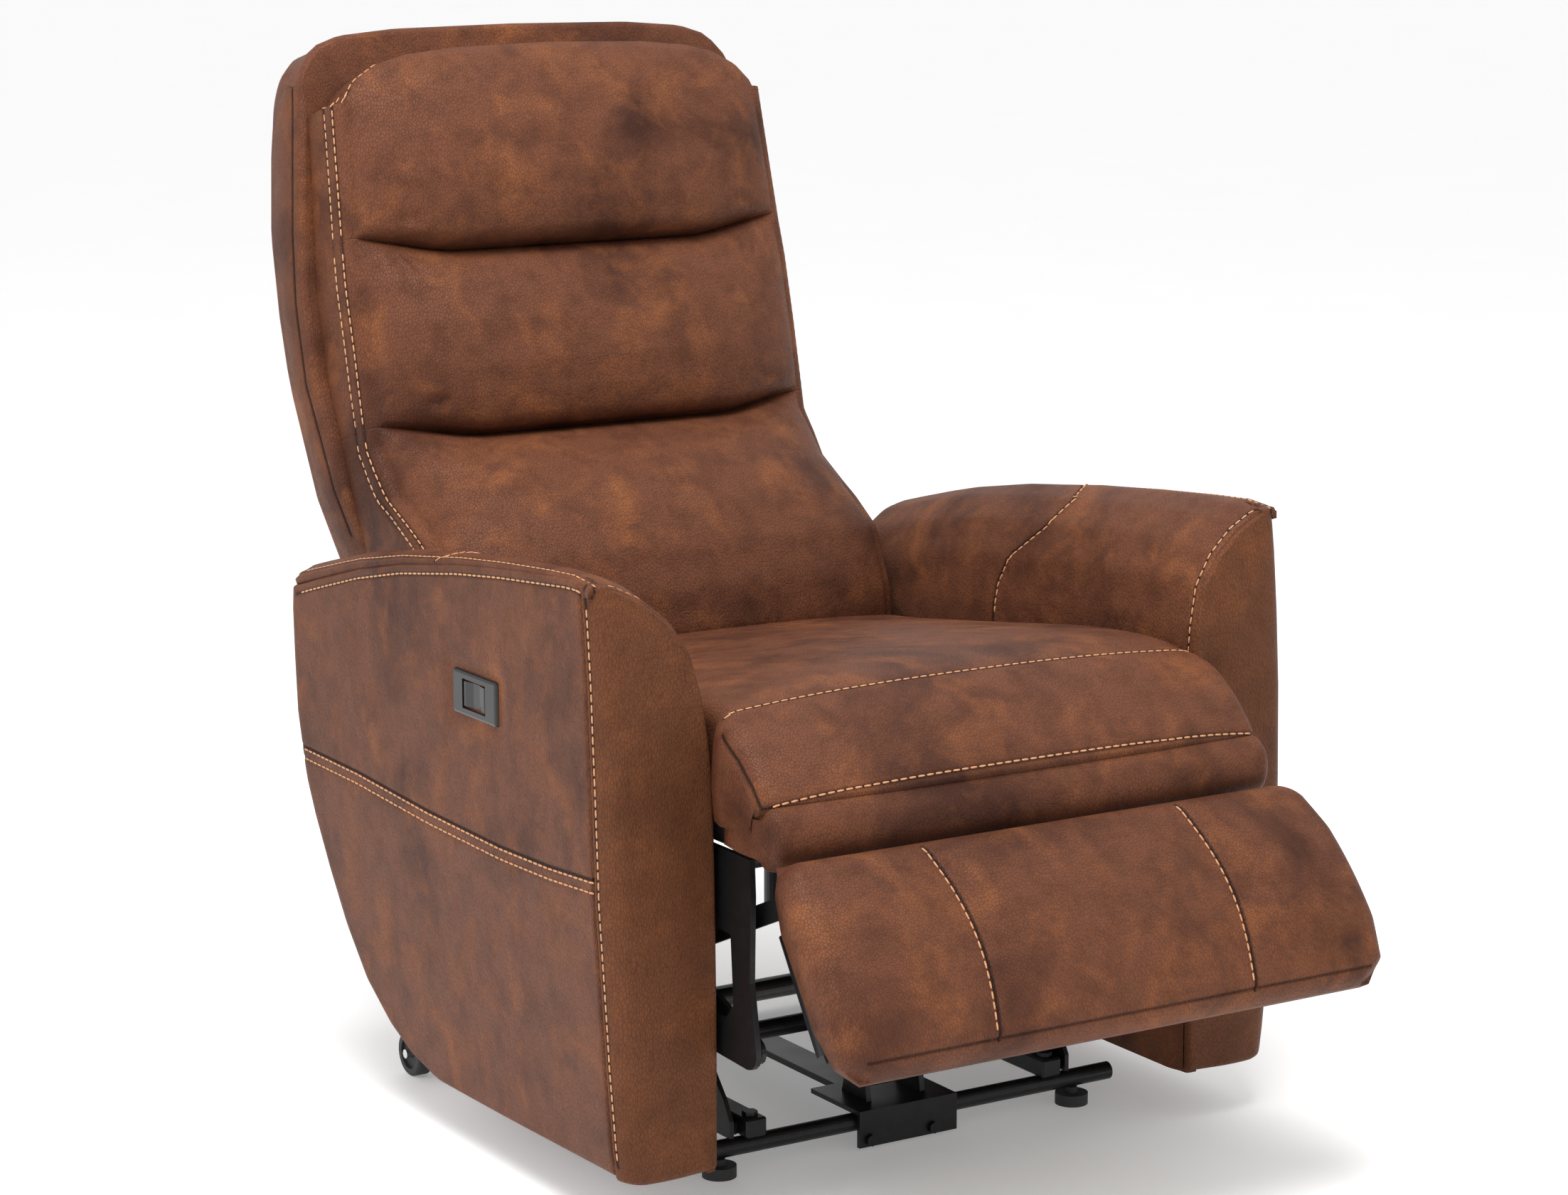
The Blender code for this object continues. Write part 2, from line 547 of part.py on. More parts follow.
def build_back(back):
    leather = (LEATHER, 0.45, 0.0)
    shell = upright_slab(shell_outline(), SHELL_FRONT, SHELL_REAR)
    corners = [edge for edge in shell.edges if edge.is_manifold]
    rear_n = [edge for edge in corners if all(behind(v.co) > SHELL_REAR - 0.005 for v in edge.verts)]
    bmesh.ops.recalc_face_normals(shell, faces=shell.faces)
    bmesh.ops.bevel(shell, geom=rear_n, offset=0.022, segments=3, profile=0.5, affect="EDGES")
    pocket = upright_slab(
        [(-0.2585, -0.330), (0.2585, -0.330), (0.2585, 0.250), (0.235, 0.408), (-0.235, 0.408),
         (-0.2585, 0.250)], SHELL_FRONT - 0.050, SHELL_FRONT + 0.050,
    )
    add_piece("back_shell", cut(shell, pocket), back, leather)
    frame = upright_slab([(-0.250, -0.270), (0.250, -0.270), (0.250, 0.240), (0.228, 0.400),
                          (-0.228, 0.400), (-0.250, 0.240)], SHELL_FRONT + 0.0005, SHELL_FRONT + 0.048)
    add_piece("back_frame", frame, back, (WOOD, 0.7, 0.0))
    rear = SHELL_FRONT - 0.0005
    head = [(0.213, rear), (0.213, -0.008), (0.235, -0.034), (0.290, -0.048), (0.350, -0.040),
            (0.400, -0.022), (0.418, 0.000), (0.418, rear)]
    add_piece("back_head_cushion", back_slab(head, 0.276, 0.010), back, leather)
    middle = [(0.006, rear), (0.006, -0.010), (0.030, -0.034), (0.100, -0.046), (0.170, -0.036),
              (0.202, -0.012), (0.202, rear)]
    add_piece("back_middle_cushion", back_slab(middle, 0.284, 0.010), back, leather)
    lumbar = [(-0.262, rear), (-0.262, -0.040), (-0.250, -0.075), (-0.215, -0.100),
              (-0.150, -0.106), (-0.080, -0.086), (-0.030, -0.048), (-0.006, -0.012), (-0.006, rear)]
    add_piece("back_lumbar_cushion", back_slab(lumbar, 0.277, 0.010), back, leather)
    for word, side in SIDES:
        build_back_bracket(word, side, back)
    bar = cross_rod(BACK_LEVER, -0.2512, 0.2512, 0.008)
    add_piece("back_cross_bar", bar, back, (SATIN_BLACK, 0.4, 0.6))


def behind(point):
    """How far a world point of the design lies behind the back's front line."""
    lean = radians(BACK_LEAN)
    return (point.y - BACK_REFERENCE[0]) * cos(lean) - (point.z - BACK_REFERENCE[1]) * sin(lean)


def build_back_bracket(word, side, back):
    """The plate that carries the back: hinge hole, leg up beside the frame, lever below."""
    outline = (
        arc(BACK_HINGE, 0.018, 100, 250, 6)
        + [(0.455, 0.345)]
        + arc(BACK_LEVER, 0.015, 220, 340, 4)
        + [(0.560, 0.385), back_point(-0.200, SHELL_FRONT + 0.040), back_point(-0.080, SHELL_FRONT + 0.040)]
        + [back_point(-0.080, SHELL_FRONT + 0.008), back_point(-0.200, SHELL_FRONT + 0.008)]
        + [back_point(-0.272, SHELL_FRONT + 0.004), (0.500, 0.400)]
    )
    plate = slab(outline, *span(side, 0.2515, 0.2565))
    hole = cross_rod(BACK_HINGE, *span(side, 0.240, 0.270), PIN_RADIUS + PIN_CLEARANCE)
    add_piece(f"back_bracket_{word}", cut(plate, hole), back, (SATIN_BLACK, 0.42, 0.6))


def build_recline_actuator(motor_body, rod_body):
    """The recline motor: an eye on the seat's cross tube, a hanging motor, a tube and its rod."""
    axis = actuator_axis(RECLINE_PIVOT, BACK_LEVER)
    low = Vector((0.0, *RECLINE_PIVOT))
    high = Vector((0.0, *BACK_LEVER))
    tube = rod(low + axis * 0.014, low + axis * 0.222, 0.0160, 28)
    eye = cross_rod(RECLINE_PIVOT, -0.020, 0.020, 0.0175, 28)
    gear = block((-0.024, 0.2030, 0.2830), (0.024, 0.2480, 0.3270), 0.004, 1)
    motor = rod((0.0, 0.2255, 0.2850), (0.0, 0.2255, 0.1850), 0.0210, 28)
    tube_hole = cross_rod(RECLINE_PIVOT, -0.05, 0.05, CROSS_TUBE_RADIUS + PIN_CLEARANCE)
    bore = rod(low + axis * 0.030, low + axis * 0.250, 0.0125, 24)
    made = cut(joined(tube, eye, gear, motor), tube_hole, bore)
    add_piece("recline_motor", made, motor_body, ((0.030, 0.030, 0.032), 0.4, 0.3))
    ring = cross_rod(BACK_LEVER, -0.016, 0.016, 0.0140, 24)
    shaft = rod(low + axis * 0.092, high - axis * 0.010, 0.0090, 20)
    bar_hole = cross_rod(BACK_LEVER, -0.05, 0.05, 0.008 + PIN_CLEARANCE)
    add_piece("recline_rod", cut(joined(shaft, ring), bar_hole), rod_body, (STEEL, 0.25, 1.0))


# ---------------------------------------------------------------- footrest
def footrest_point(along, depth):
    """A (y, z) spot from its distance down the footrest and its depth behind the footrest's face."""
    slope = radians(FOOTREST_SLOPE)
    y = FOOTREST_TOP[0] - along * cos(slope) + depth * sin(slope)
    z = FOOTREST_TOP[1] - along * sin(slope) - depth * cos(slope)
    return (y, z)


def footrest_slab(spots, x_low, x_high, bevel=0.0, segments=2):
    return slab([footrest_point(*spot) for spot in spots], x_low, x_high, bevel, segments)


def build_footrest(body):
    far = FOOTREST_LENGTH
    cushion = [(0.003, 0.0260), (0.000, 0.014), (0.014, 0.001), (0.060, -0.004), (0.150, -0.004),
               (far - 0.016, 0.001), (far + 0.004, 0.014), (far + 0.002, 0.0260)]
    reach = FOOTREST_HALF_WIDTH
    add_piece(
        "footrest_cushion", footrest_slab(cushion, -reach, reach, 0.010), body, (LEATHER, 0.45, 0.0)
    )
    board = [(0.008, 0.0265), (0.008, 0.0375), (far - 0.006, 0.0375), (far - 0.006, 0.0265)]
    add_piece("footrest_board", footrest_slab(board, -0.276, 0.276), body, (WOOD, 0.7, 0.0))
    for word, side in SIDES:
        build_footrest_bracket(word, side, body)
        build_footrest_stay(word, side, body)


def build_footrest_bracket(word, side, body):
    """The ear on the footrest's board that turns on the footrest link's pin."""
    centre = footrest_point(*FOOTREST_PIVOT)
    ear = [(0.009, 0.0380), (0.009, 0.0560), (0.016, 0.0625), (0.026, 0.0620), (0.050, 0.0500),
           (0.090, 0.0380)]
    plate = footrest_slab(ear, *span(side, 0.2505, 0.2555))
    hole = cross_rod(centre, *span(side, 0.240, 0.270), 0.0050 + PIN_CLEARANCE, 20)
    add_piece(f"footrest_bracket_{word}", cut(plate, hole), body, (SATIN_BLACK, 0.42, 0.6))


def build_footrest_stay(word, side, body):
    """A round tube behind the footrest, held at its lower end by a flat strap to the board."""
    x = side * 0.235
    top = footrest_point(0.018, 0.136)
    bottom = footrest_point(0.140, 0.150)
    tube = rod((x, *top), (x, *bottom), 0.0095, 20)
    strap = [(0.100, 0.0380), (0.128, 0.0380), (0.148, 0.150), (0.128, 0.150)]
    low, high = span(side, 0.2320, 0.2380)
    plate = footrest_slab(strap, low, high)
    add_piece(f"footrest_stay_{word}", joined(tube, plate), body, (SATIN_BLACK, 0.4, 0.6))


def build_footrest_links(rear_links, front_links):
    black = (SATIN_BLACK, 0.42, 0.6)
    pivot = footrest_point(*FOOTREST_PIVOT)
    running = PIN_RADIUS + PIN_CLEARANCE
    for word, side in SIDES:
        rear = pivoted_link(
            FOOT_LINK_BASE, FOOT_LINK_KNEE, span(side, 0.2665, 0.2715), running, 0.0
        )
        knee_pin = cross_rod(FOOT_LINK_KNEE, *span(side, 0.2575, 0.2685), PIN_RADIUS)
        add_piece(f"footrest_rear_link_{word}", joined(rear, knee_pin), rear_links, black)
        front = pivoted_link(
            FOOT_LINK_KNEE, pivot, span(side, 0.2585, 0.2635), running, 0.0, 0.0105
        )
        end_pin = cross_rod(pivot, *span(side, 0.2495, 0.2605), 0.0050, 20)
        add_piece(f"footrest_front_link_{word}", joined(front, end_pin), front_links, black)
    along = Vector(FOOT_LINK_KNEE) - Vector(FOOT_LINK_BASE)
    spot = Vector(FOOT_LINK_BASE) + along * 0.50
    reach = 0.2665 - GAP
    add_piece("footrest_torque_tube", cross_rod(spot, -reach, reach, 0.009), rear_links, black)


# ---------------------------------------------------------------- assembly
def build():
    clear_scene()
    origin = body_empty("chair_origin", (0.0, 0.0, 0.0))
    origin.location = (0.0, -CENTRE_Y, 0.0)
    base = body_empty("base", (0.0, 0.0, 0.0), origin)
    build_base(base)
    for word, side in SIDES:
        build_wheel(word, side, body_empty(f"wheel_{word}", (WHEEL_AXLE_Y, WHEEL_RADIUS), origin))
    lower = body_empty("lift_lower_links", LOWER_LINK_BASE, origin)
    uppers = {word: body_empty(f"lift_upper_{word}", UPPER_LINK_BASE, origin) for word, _ in SIDES}
    build_lift_links(lower, uppers)
    seat = body_empty("seat", LOWER_LINK_TOP, lower)
    for word, side in SIDES:
        build_side_plate(word, side, seat)
        build_arm(word, side, seat)
    build_seat_frame(seat)
    build_seat_cushion(seat)
    y, z = SWITCH_CENTRE
    build_switch(seat, body_empty("switch", (-0.4045, y, z), seat))
    build_lift_actuator(
        body_empty("lift_actuator", LOWER_LINK_BASE, origin), body_empty("lift_push_rod", LIFT_ROD_TOP, seat)
    )
    back = body_empty("back", BACK_HINGE, seat)
    build_back(back)
    build_recline_actuator(
        body_empty("recline_actuator", RECLINE_PIVOT, seat), body_empty("recline_push_rod", BACK_LEVER, back)
    )
    rear_links = body_empty("footrest_rear_links", FOOT_LINK_BASE, seat)
    front_links = body_empty("footrest_front_links", FOOT_LINK_KNEE, rear_links)
    footrest = body_empty("footrest", footrest_point(*FOOTREST_PIVOT), front_links)
    build_footrest_links(rear_links, front_links)
    build_footrest(footrest)


build()
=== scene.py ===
"""The looks of a leather lift recliner chair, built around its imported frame."""
import json
from math import cos, pi, radians, sin

import bmesh
import bpy
import numpy as np
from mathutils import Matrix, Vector
from mathutils.bvhtree import BVHTree


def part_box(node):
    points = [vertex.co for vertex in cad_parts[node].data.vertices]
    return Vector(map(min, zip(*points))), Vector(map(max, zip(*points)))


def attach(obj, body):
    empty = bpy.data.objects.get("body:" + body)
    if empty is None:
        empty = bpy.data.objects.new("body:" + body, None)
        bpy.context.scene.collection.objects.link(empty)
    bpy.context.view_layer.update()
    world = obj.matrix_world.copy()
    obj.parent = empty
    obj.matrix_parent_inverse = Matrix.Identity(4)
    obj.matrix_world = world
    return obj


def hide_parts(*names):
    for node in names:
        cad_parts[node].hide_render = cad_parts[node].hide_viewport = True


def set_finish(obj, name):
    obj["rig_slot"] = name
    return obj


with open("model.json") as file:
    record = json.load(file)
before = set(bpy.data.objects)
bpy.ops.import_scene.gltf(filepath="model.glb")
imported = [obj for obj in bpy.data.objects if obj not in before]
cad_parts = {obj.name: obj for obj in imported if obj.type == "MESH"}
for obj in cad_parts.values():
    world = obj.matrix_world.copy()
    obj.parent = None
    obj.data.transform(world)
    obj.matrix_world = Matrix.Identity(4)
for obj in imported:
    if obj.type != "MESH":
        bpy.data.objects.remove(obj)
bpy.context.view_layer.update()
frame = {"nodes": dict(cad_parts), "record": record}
# The design measures y from the middle of the front tube.
TUBE_LOW, TUBE_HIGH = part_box("base_front_tube")
Y0 = (TUBE_LOW.y + TUBE_HIGH.y) / 2
SHIFT = np.array([0.0, Y0, 0.0])
MM = 0.001
SIDES = (("left", -1.0), ("right", 1.0))


# ---- camera
CAMERA_X = -2.1894
CAMERA_Y = -3.2534
CAMERA_Z = 1.3366
CAMERA_TILT = 78.9
CAMERA_HEADING = -32.19
LENS = 91.43
SENSOR = 36.0


def add_camera():
    """The camera stands left of the chair's front, a little above its top."""
    data = bpy.data.cameras.new("camera")
    data.lens = LENS
    data.sensor_width = SENSOR
    camera = bpy.data.objects.new("camera", data)
    camera.location = (CAMERA_X, CAMERA_Y + Y0, CAMERA_Z)
    camera.rotation_euler = (radians(CAMERA_TILT), 0.0, radians(CAMERA_HEADING))
    bpy.context.scene.collection.objects.link(camera)
    bpy.context.scene.camera = camera


add_camera()


# ---- small mathematics
def smooth(value):
    """0 below 0, 1 above 1, and an even turn between."""
    t = np.clip(value, 0.0, 1.0)
    return t * t * (3.0 - 2.0 * t)


def along(spots, at):
    """Reads y from (x, y) spots."""
    spots = np.array(spots, float)
    return np.interp(at, spots[:, 0], spots[:, 1])


def read(spots, at):
    """Reads one y from (x, y) spots."""
    return float(along(spots, at))


def quarter_turns(count):
    return np.linspace(0.0, pi / 2, count)[1:]


def steps_to_one(count):
    return np.linspace(0.0, 1.0, count)[1:]


def spline(points, step):
    """A Catmull-Rom curve through the points, with a point about every step."""
    points = np.array(points, float)
    ends = np.vstack([2 * points[0] - points[1], points, 2 * points[-1] - points[-2]])
    curve = []
    for a, b, c, d in zip(ends, ends[1:], ends[2:], ends[3:]):
        for t in np.linspace(0.0, 1.0, 12, endpoint=False):
            curve.append(0.5 * (2 * b + (c - a) * t + (2 * a - 5 * b + 4 * c - d) * t ** 2
                                + (3 * b - 3 * c + d - a) * t ** 3))
    curve.append(points[-1])
    return resampled(np.array(curve), step)


def resampled(points, step):
    """The same line with its points evenly about one step apart."""
    points = np.array(points, float)
    lengths = np.linalg.norm(np.diff(points, axis=0), axis=1)
    at = np.concatenate([[0.0], np.cumsum(lengths)])
    count = max(2, int(round(at[-1] / step)) + 1)
    return np.stack([np.interp(np.linspace(0.0, at[-1], count), at, column) for column in points.T], axis=1)


def stations(length, step, fine=0.0024, edge=0.012):
    """Shares from 0 to 1 along a length, closer together near both ends."""
    near = np.arange(0.0, edge, fine)
    count = max(2, int(round((length - 2 * edge) / step)) + 1)
    middle = np.linspace(edge, length - edge, count)
    return np.concatenate([near, middle, length - near[::-1]]) / length


def cushion_columns():
    """Shares across a cushion from -1 to 1, closer together near its sides."""
    return stations(2.0, 0.018, 0.006, 0.03) * 2.0 - 1.0


def grid_normals(grid):
    """Unit normals of a grid of points."""
    down = np.gradient(grid, axis=0)
    across = np.gradient(grid, axis=1)
    normals = np.cross(across, down)
    size = np.linalg.norm(normals, axis=2, keepdims=True)
    return normals / np.maximum(size, 1e-12)


def edge_distance(grid, sides):
    """How far each point of a grid is from the nearest of the sides named, along the surface."""
    rows, columns = grid.shape[:2]
    down = np.linalg.norm(np.diff(grid, axis=0), axis=2)
    across = np.linalg.norm(np.diff(grid, axis=1), axis=2)
    down = np.concatenate([np.zeros((1, columns)), np.cumsum(down, axis=0)], axis=0)
    across = np.concatenate([np.zeros((rows, 1)), np.cumsum(across, axis=1)], axis=1)
    found = {
        "first_row": down,
        "last_row": down[-1:] - down,
        "first_column": across,
        "last_column": across[:, -1:] - across,
    }
    return np.min([found[side] for side in sides], axis=0)


def quarter_round(radius, inside):
    """How far a quarter round of a radius has dropped at each distance inside its edge."""
    reach = np.clip(radius - inside, 0.0, radius)
    return radius - np.sqrt(np.maximum(radius ** 2 - reach ** 2, 0.0))


def rolled(grid, normals, radius, sides):
    """Turns the named edges of a grid inwards, each as a quarter round."""
    reach = np.clip(edge_distance(grid, sides), 0.0, radius)
    drop = radius - np.sqrt(np.maximum(radius ** 2 - (radius - reach) ** 2, 0.0))
    return grid - normals * drop[..., None]


# ---- meshes
WELD = 0.00002


def mesh_object(name, vertices, faces, material, body, slot):
    """A smooth mesh that rides on a body of the frame."""
    mesh = bpy.data.meshes.new(name)
    mesh.from_pydata([tuple(v) for v in vertices], [], [tuple(f) for f in faces])
    work = bmesh.new()
    work.from_mesh(mesh)
    bmesh.ops.remove_doubles(work, verts=work.verts, dist=WELD)
    bmesh.ops.recalc_face_normals(work, faces=work.faces)
    for face in work.faces:
        face.smooth = True
    work.to_mesh(mesh)
    work.free()
    made = bpy.data.objects.new(name, mesh)
    bpy.context.scene.collection.objects.link(made)
    mesh.materials.append(material)
    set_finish(made, slot)
    made["body"] = body
    return made


def ring_faces(rows, size):
    """The quads of a stack of closed rings."""
    faces = []
    for row in range(rows - 1):
        low = row * size
        high = low + size
        for spot in range(size):
            other = (spot + 1) % size
            faces.append((low + spot, low + other, high + other, high + spot))
    return faces


def pad(name, outer, inner, material, body, slot="leather"):
    """A closed piece between two grids of points, given in the design's own coordinates."""
    rows, columns = outer.shape[:2]
    rings = np.concatenate([outer, inner[:, ::-1]], axis=1) + SHIFT
    size = 2 * columns
    faces = ring_faces(rows, size)
    for start in (0, (rows - 1) * size):
        end = start + size - 1
        for spot in range(columns - 1):
            faces.append((start + spot, start + spot + 1, end - 1 - spot, end - spot))
    return mesh_object(name, rings.reshape(-1, 3), faces, material, body, slot)


def ring_pad(name, rings, material, body, slot="leather"):
    """A closed piece from a stack of closed rings, with both ends capped.
    A ring starts at the middle of its front, and its middle spot lies opposite."""
    rows, size = rings.shape[:2]
    half = size // 2
    faces = ring_faces(rows, size)
    for start in (0, (rows - 1) * size):
        for spot in range((half + 1) // 2):
            right = (spot, spot + 1, half - spot - 1, half - spot)
            left = ((size - spot) % size, size - spot - 1, half + spot + 1, half + spot)
            for corners in (right, left):
                faces.append(tuple(dict.fromkeys(start + corner for corner in corners)))
    shifted = rings + SHIFT
    return mesh_object(name, shifted.reshape(-1, 3), faces, material, body, slot)


def coordinates(thing):
    """A piece's vertices as rows of x, y and z."""
    spots = np.empty(len(thing.data.vertices) * 3)
    thing.data.vertices.foreach_get("co", spots)
    return spots.reshape(-1, 3)


def set_coordinates(thing, spots):
    thing.data.vertices.foreach_set("co", np.ascontiguousarray(spots, float).ravel())
    thing.data.update()


def vertex_normals(thing):
    found = np.empty(len(thing.data.vertices) * 3)
    thing.data.vertex_normals.foreach_get("vector", found)
    return found.reshape(-1, 3)


# ---- seams
# Each profile is millimetres across a line and millimetres up.
TOPSTITCH = ((-7.0, 0.0), (-2.6, -0.1), (0.0, -1.1), (2.6, -0.1), (7.0, 0.0))
THIN = ((-5.0, 0.0), (-2.0, -0.2), (0.0, -1.8), (2.0, -0.2), (5.0, 0.0))
PINCH = ((-16.0, 0.0), (-8.0, 0.8), (0.0, -3.0), (8.0, 0.8), (16.0, 0.0))
LINE_STEP = 0.0025
EVENED = 15
BATCH = 4000
SHORTEST_EDGE = 0.0011
FINE_REACH = 0.008
END_REACH = 0.01
FACING = 0.2
# How wide the painted shade along a seam's groove spreads.
CREASE_SHADE_WIDTH = 0.0022
STITCHES = []


def surface(thing):
    """A piece's faces, ready to be searched."""
    vertices = [v.co for v in thing.data.vertices]
    faces = [p.vertices for p in thing.data.polygons]
    return BVHTree.FromPolygons(vertices, faces)


def laid(tree, path):
    """A line laid on a surface: its points, the surface's normals and the directions across it."""
    spots = []
    normals = []
    for point in resampled(path, LINE_STEP):
        place, normal, _, _ = tree.find_nearest(Vector(point))
        spots.append(place)
        normals.append(normal)
    spots = np.array(spots)
    normals = np.array(normals)
    kernel = np.ones(EVENED) / EVENED
    padded = np.pad(normals, ((EVENED // 2, EVENED // 2), (0, 0)), mode="edge")
    normals = np.stack([np.convolve(padded[:, axis], kernel, "valid") for axis in range(3)], axis=1)
    tangents = np.gradient(spots, axis=0)
    across = np.cross(tangents, normals)
    across /= np.maximum(np.linalg.norm(across, axis=1, keepdims=True), 1e-12)
    normals /= np.maximum(np.linalg.norm(normals, axis=1, keepdims=True), 1e-12)
    return spots, normals, across


def nearest(points, spots):
    """For each point, the index of the nearest spot and its distance."""
    index = np.zeros(len(points), int)
    distance = np.empty(len(points))
    for start in range(0, len(points), BATCH):
        part = points[start:start + BATCH]
        gaps = ((part[:, None, :] - spots[None, :, :]) ** 2).sum(axis=2)
        index[start:start + BATCH] = gaps.argmin(axis=1)
        distance[start:start + BATCH] = np.sqrt(gaps.min(axis=1))
    return index, distance


def boxed(points, spots, reach):
    """Which points lie within reach of the box round the spots."""
    return ((points > spots.min(0) - reach) & (points < spots.max(0) + reach)).all(axis=1)


def refine(thing, spots, rounds):
    """Divides the faces near a line, once for each round."""
    for _ in range(rounds):
        work = bmesh.new()
        work.from_mesh(thing.data)
        points = np.array([v.co for v in work.verts])
        box = boxed(points, spots, FINE_REACH)
        near = np.zeros(len(points), bool)
        if box.any():
            _, distance = nearest(points[box], spots)
            near[np.flatnonzero(box)[distance < FINE_REACH]] = True
        edges = [e for e in work.edges if near[e.verts[0].index] and near[e.verts[1].index]
                 and e.calc_length() > SHORTEST_EDGE]
        bmesh.ops.subdivide_edges(work, edges=edges, cuts=1, use_grid_fill=True)
        for face in work.faces:
            face.smooth = True
        work.to_mesh(thing.data)
        work.free()


def seam(thing, path, profile, rows=(), flip=False, fade=0.0, dark=1.0, fine=2):
    """Presses a seam's profile into a piece along a line, and paints shade along its groove, as strong as
    dark.
    rows are the distances of its rows of stitches from the line, in millimetres."""
    path = np.array(path, float) + SHIFT
    spots, normals, across = laid(surface(thing), path)
    if flip:
        across = -across
    profile = np.array(profile) * MM
    reach = np.abs(profile[:, 0]).max()
    refine(thing, spots, fine)
    points = coordinates(thing)
    chosen = np.flatnonzero(boxed(points, spots, reach))
    index, distance = nearest(points[chosen], spots)
    facing = (vertex_normals(thing)[chosen] * normals[index]).sum(axis=1) > FACING
    hit = (distance < reach) & facing
    chosen = chosen[hit]
    index = index[hit]
    offset = points[chosen] - spots[index]
    aside = (offset * across[index]).sum(axis=1)
    tail = np.abs((offset * np.gradient(spots, axis=0)[index]).sum(axis=1)) / LINE_STEP
    rise = np.interp(aside, profile[:, 0], profile[:, 1])
    ends = np.minimum(index, len(spots) - 1 - index) * LINE_STEP
    strength = smooth(ends / fade) if fade else np.ones(len(index))
    strength = strength * (tail < END_REACH)
    points[chosen] += normals[index] * (rise * strength)[:, None]
    set_coordinates(thing, points)
    # Painted shade: darkens the leather along the seam's groove, as strong as dark, through a vertex
    # attribute that the leather reads.
    shade(thing, "crease_shade", chosen, dark * strength * np.exp(-(aside / CREASE_SHADE_WIDTH) ** 2))
    for row in rows:
        STITCHES.append((thing, spots, normals, across * row * MM))


def shade(thing, name, chosen, values):
    """Raises a named attribute of a piece's vertices to the values given."""
    attribute = thing.data.attributes.get(name) or thing.data.attributes.new(name, "FLOAT", "POINT")
    old = np.zeros(len(thing.data.vertices))
    attribute.data.foreach_get("value", old)
    old[chosen] = np.maximum(old[chosen], values)
    attribute.data.foreach_set("value", old)


STITCH_LENGTH = 0.0078
STITCH_RADIUS = 0.0011
STITCH_RINGS = ((-0.5, 0.25), (-0.4, 0.8), (0.0, 1.0), (0.4, 0.8), (0.5, 0.25))
STITCH_CORNERS = 6
STITCH_SPACING = 4
RAY_START = 0.006
RAY_LENGTH = 0.02
STITCH_LIFT = 0.0003


def stitch_shape():
    """One stitch along X: a six-sided bead with narrow ends."""
    rings = []
    for share, size in STITCH_RINGS:
        radius = STITCH_RADIUS * size
        for turn in range(STITCH_CORNERS):
            angle = turn * pi / 3
            rings.append((share * STITCH_LENGTH, radius * cos(angle), radius * 0.8 * sin(angle)))
    return np.array(rings)


def stitch_row(tree, spots, normals, aside):
    """Where each stitch of a row sits on a piece, with its directions up and ahead."""
    line = spots + aside
    ahead = np.gradient(line, axis=0)
    ahead /= np.maximum(np.linalg.norm(ahead, axis=1, keepdims=True), 1e-12)
    places = []
    for index in range(2, len(line) - 2, STITCH_SPACING):
        up = normals[index]
        hit = tree.ray_cast(Vector(line[index] + up * RAY_START), Vector(-up), RAY_LENGTH)[0]
        if hit is not None:
            places.append((np.array(hit), up, ahead[index]))
    return places


def sew(material):
    """Lays every row of stitches on its piece, one object for each piece."""
    bead = stitch_shape()
    rings = len(STITCH_RINGS)
    last = (rings - 1) * STITCH_CORNERS
    sides = ring_faces(rings, STITCH_CORNERS)
    sides += [tuple(range(STITCH_CORNERS)), tuple(range(last, last + STITCH_CORNERS))]
    things = []
    for thing in {entry[0].name: entry[0] for entry in STITCHES}.values():
        tree = surface(thing)
        vertices = []
        faces = []
        for _, spots, normals, aside in [entry for entry in STITCHES if entry[0] == thing]:
            for place, up, front in stitch_row(tree, spots, normals, aside):
                start = len(vertices)
                sideways = np.cross(up, front)
                for x, y, z in bead:
                    vertices.append(place + front * x + sideways * y + up * (z + STITCH_LIFT))
                faces.extend([tuple(start + corner for corner in face) for face in sides])
        name = thing.name + "_stitches"
        things.append(mesh_object(name, vertices, faces, material, thing["body"], thing["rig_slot"]))
    return things


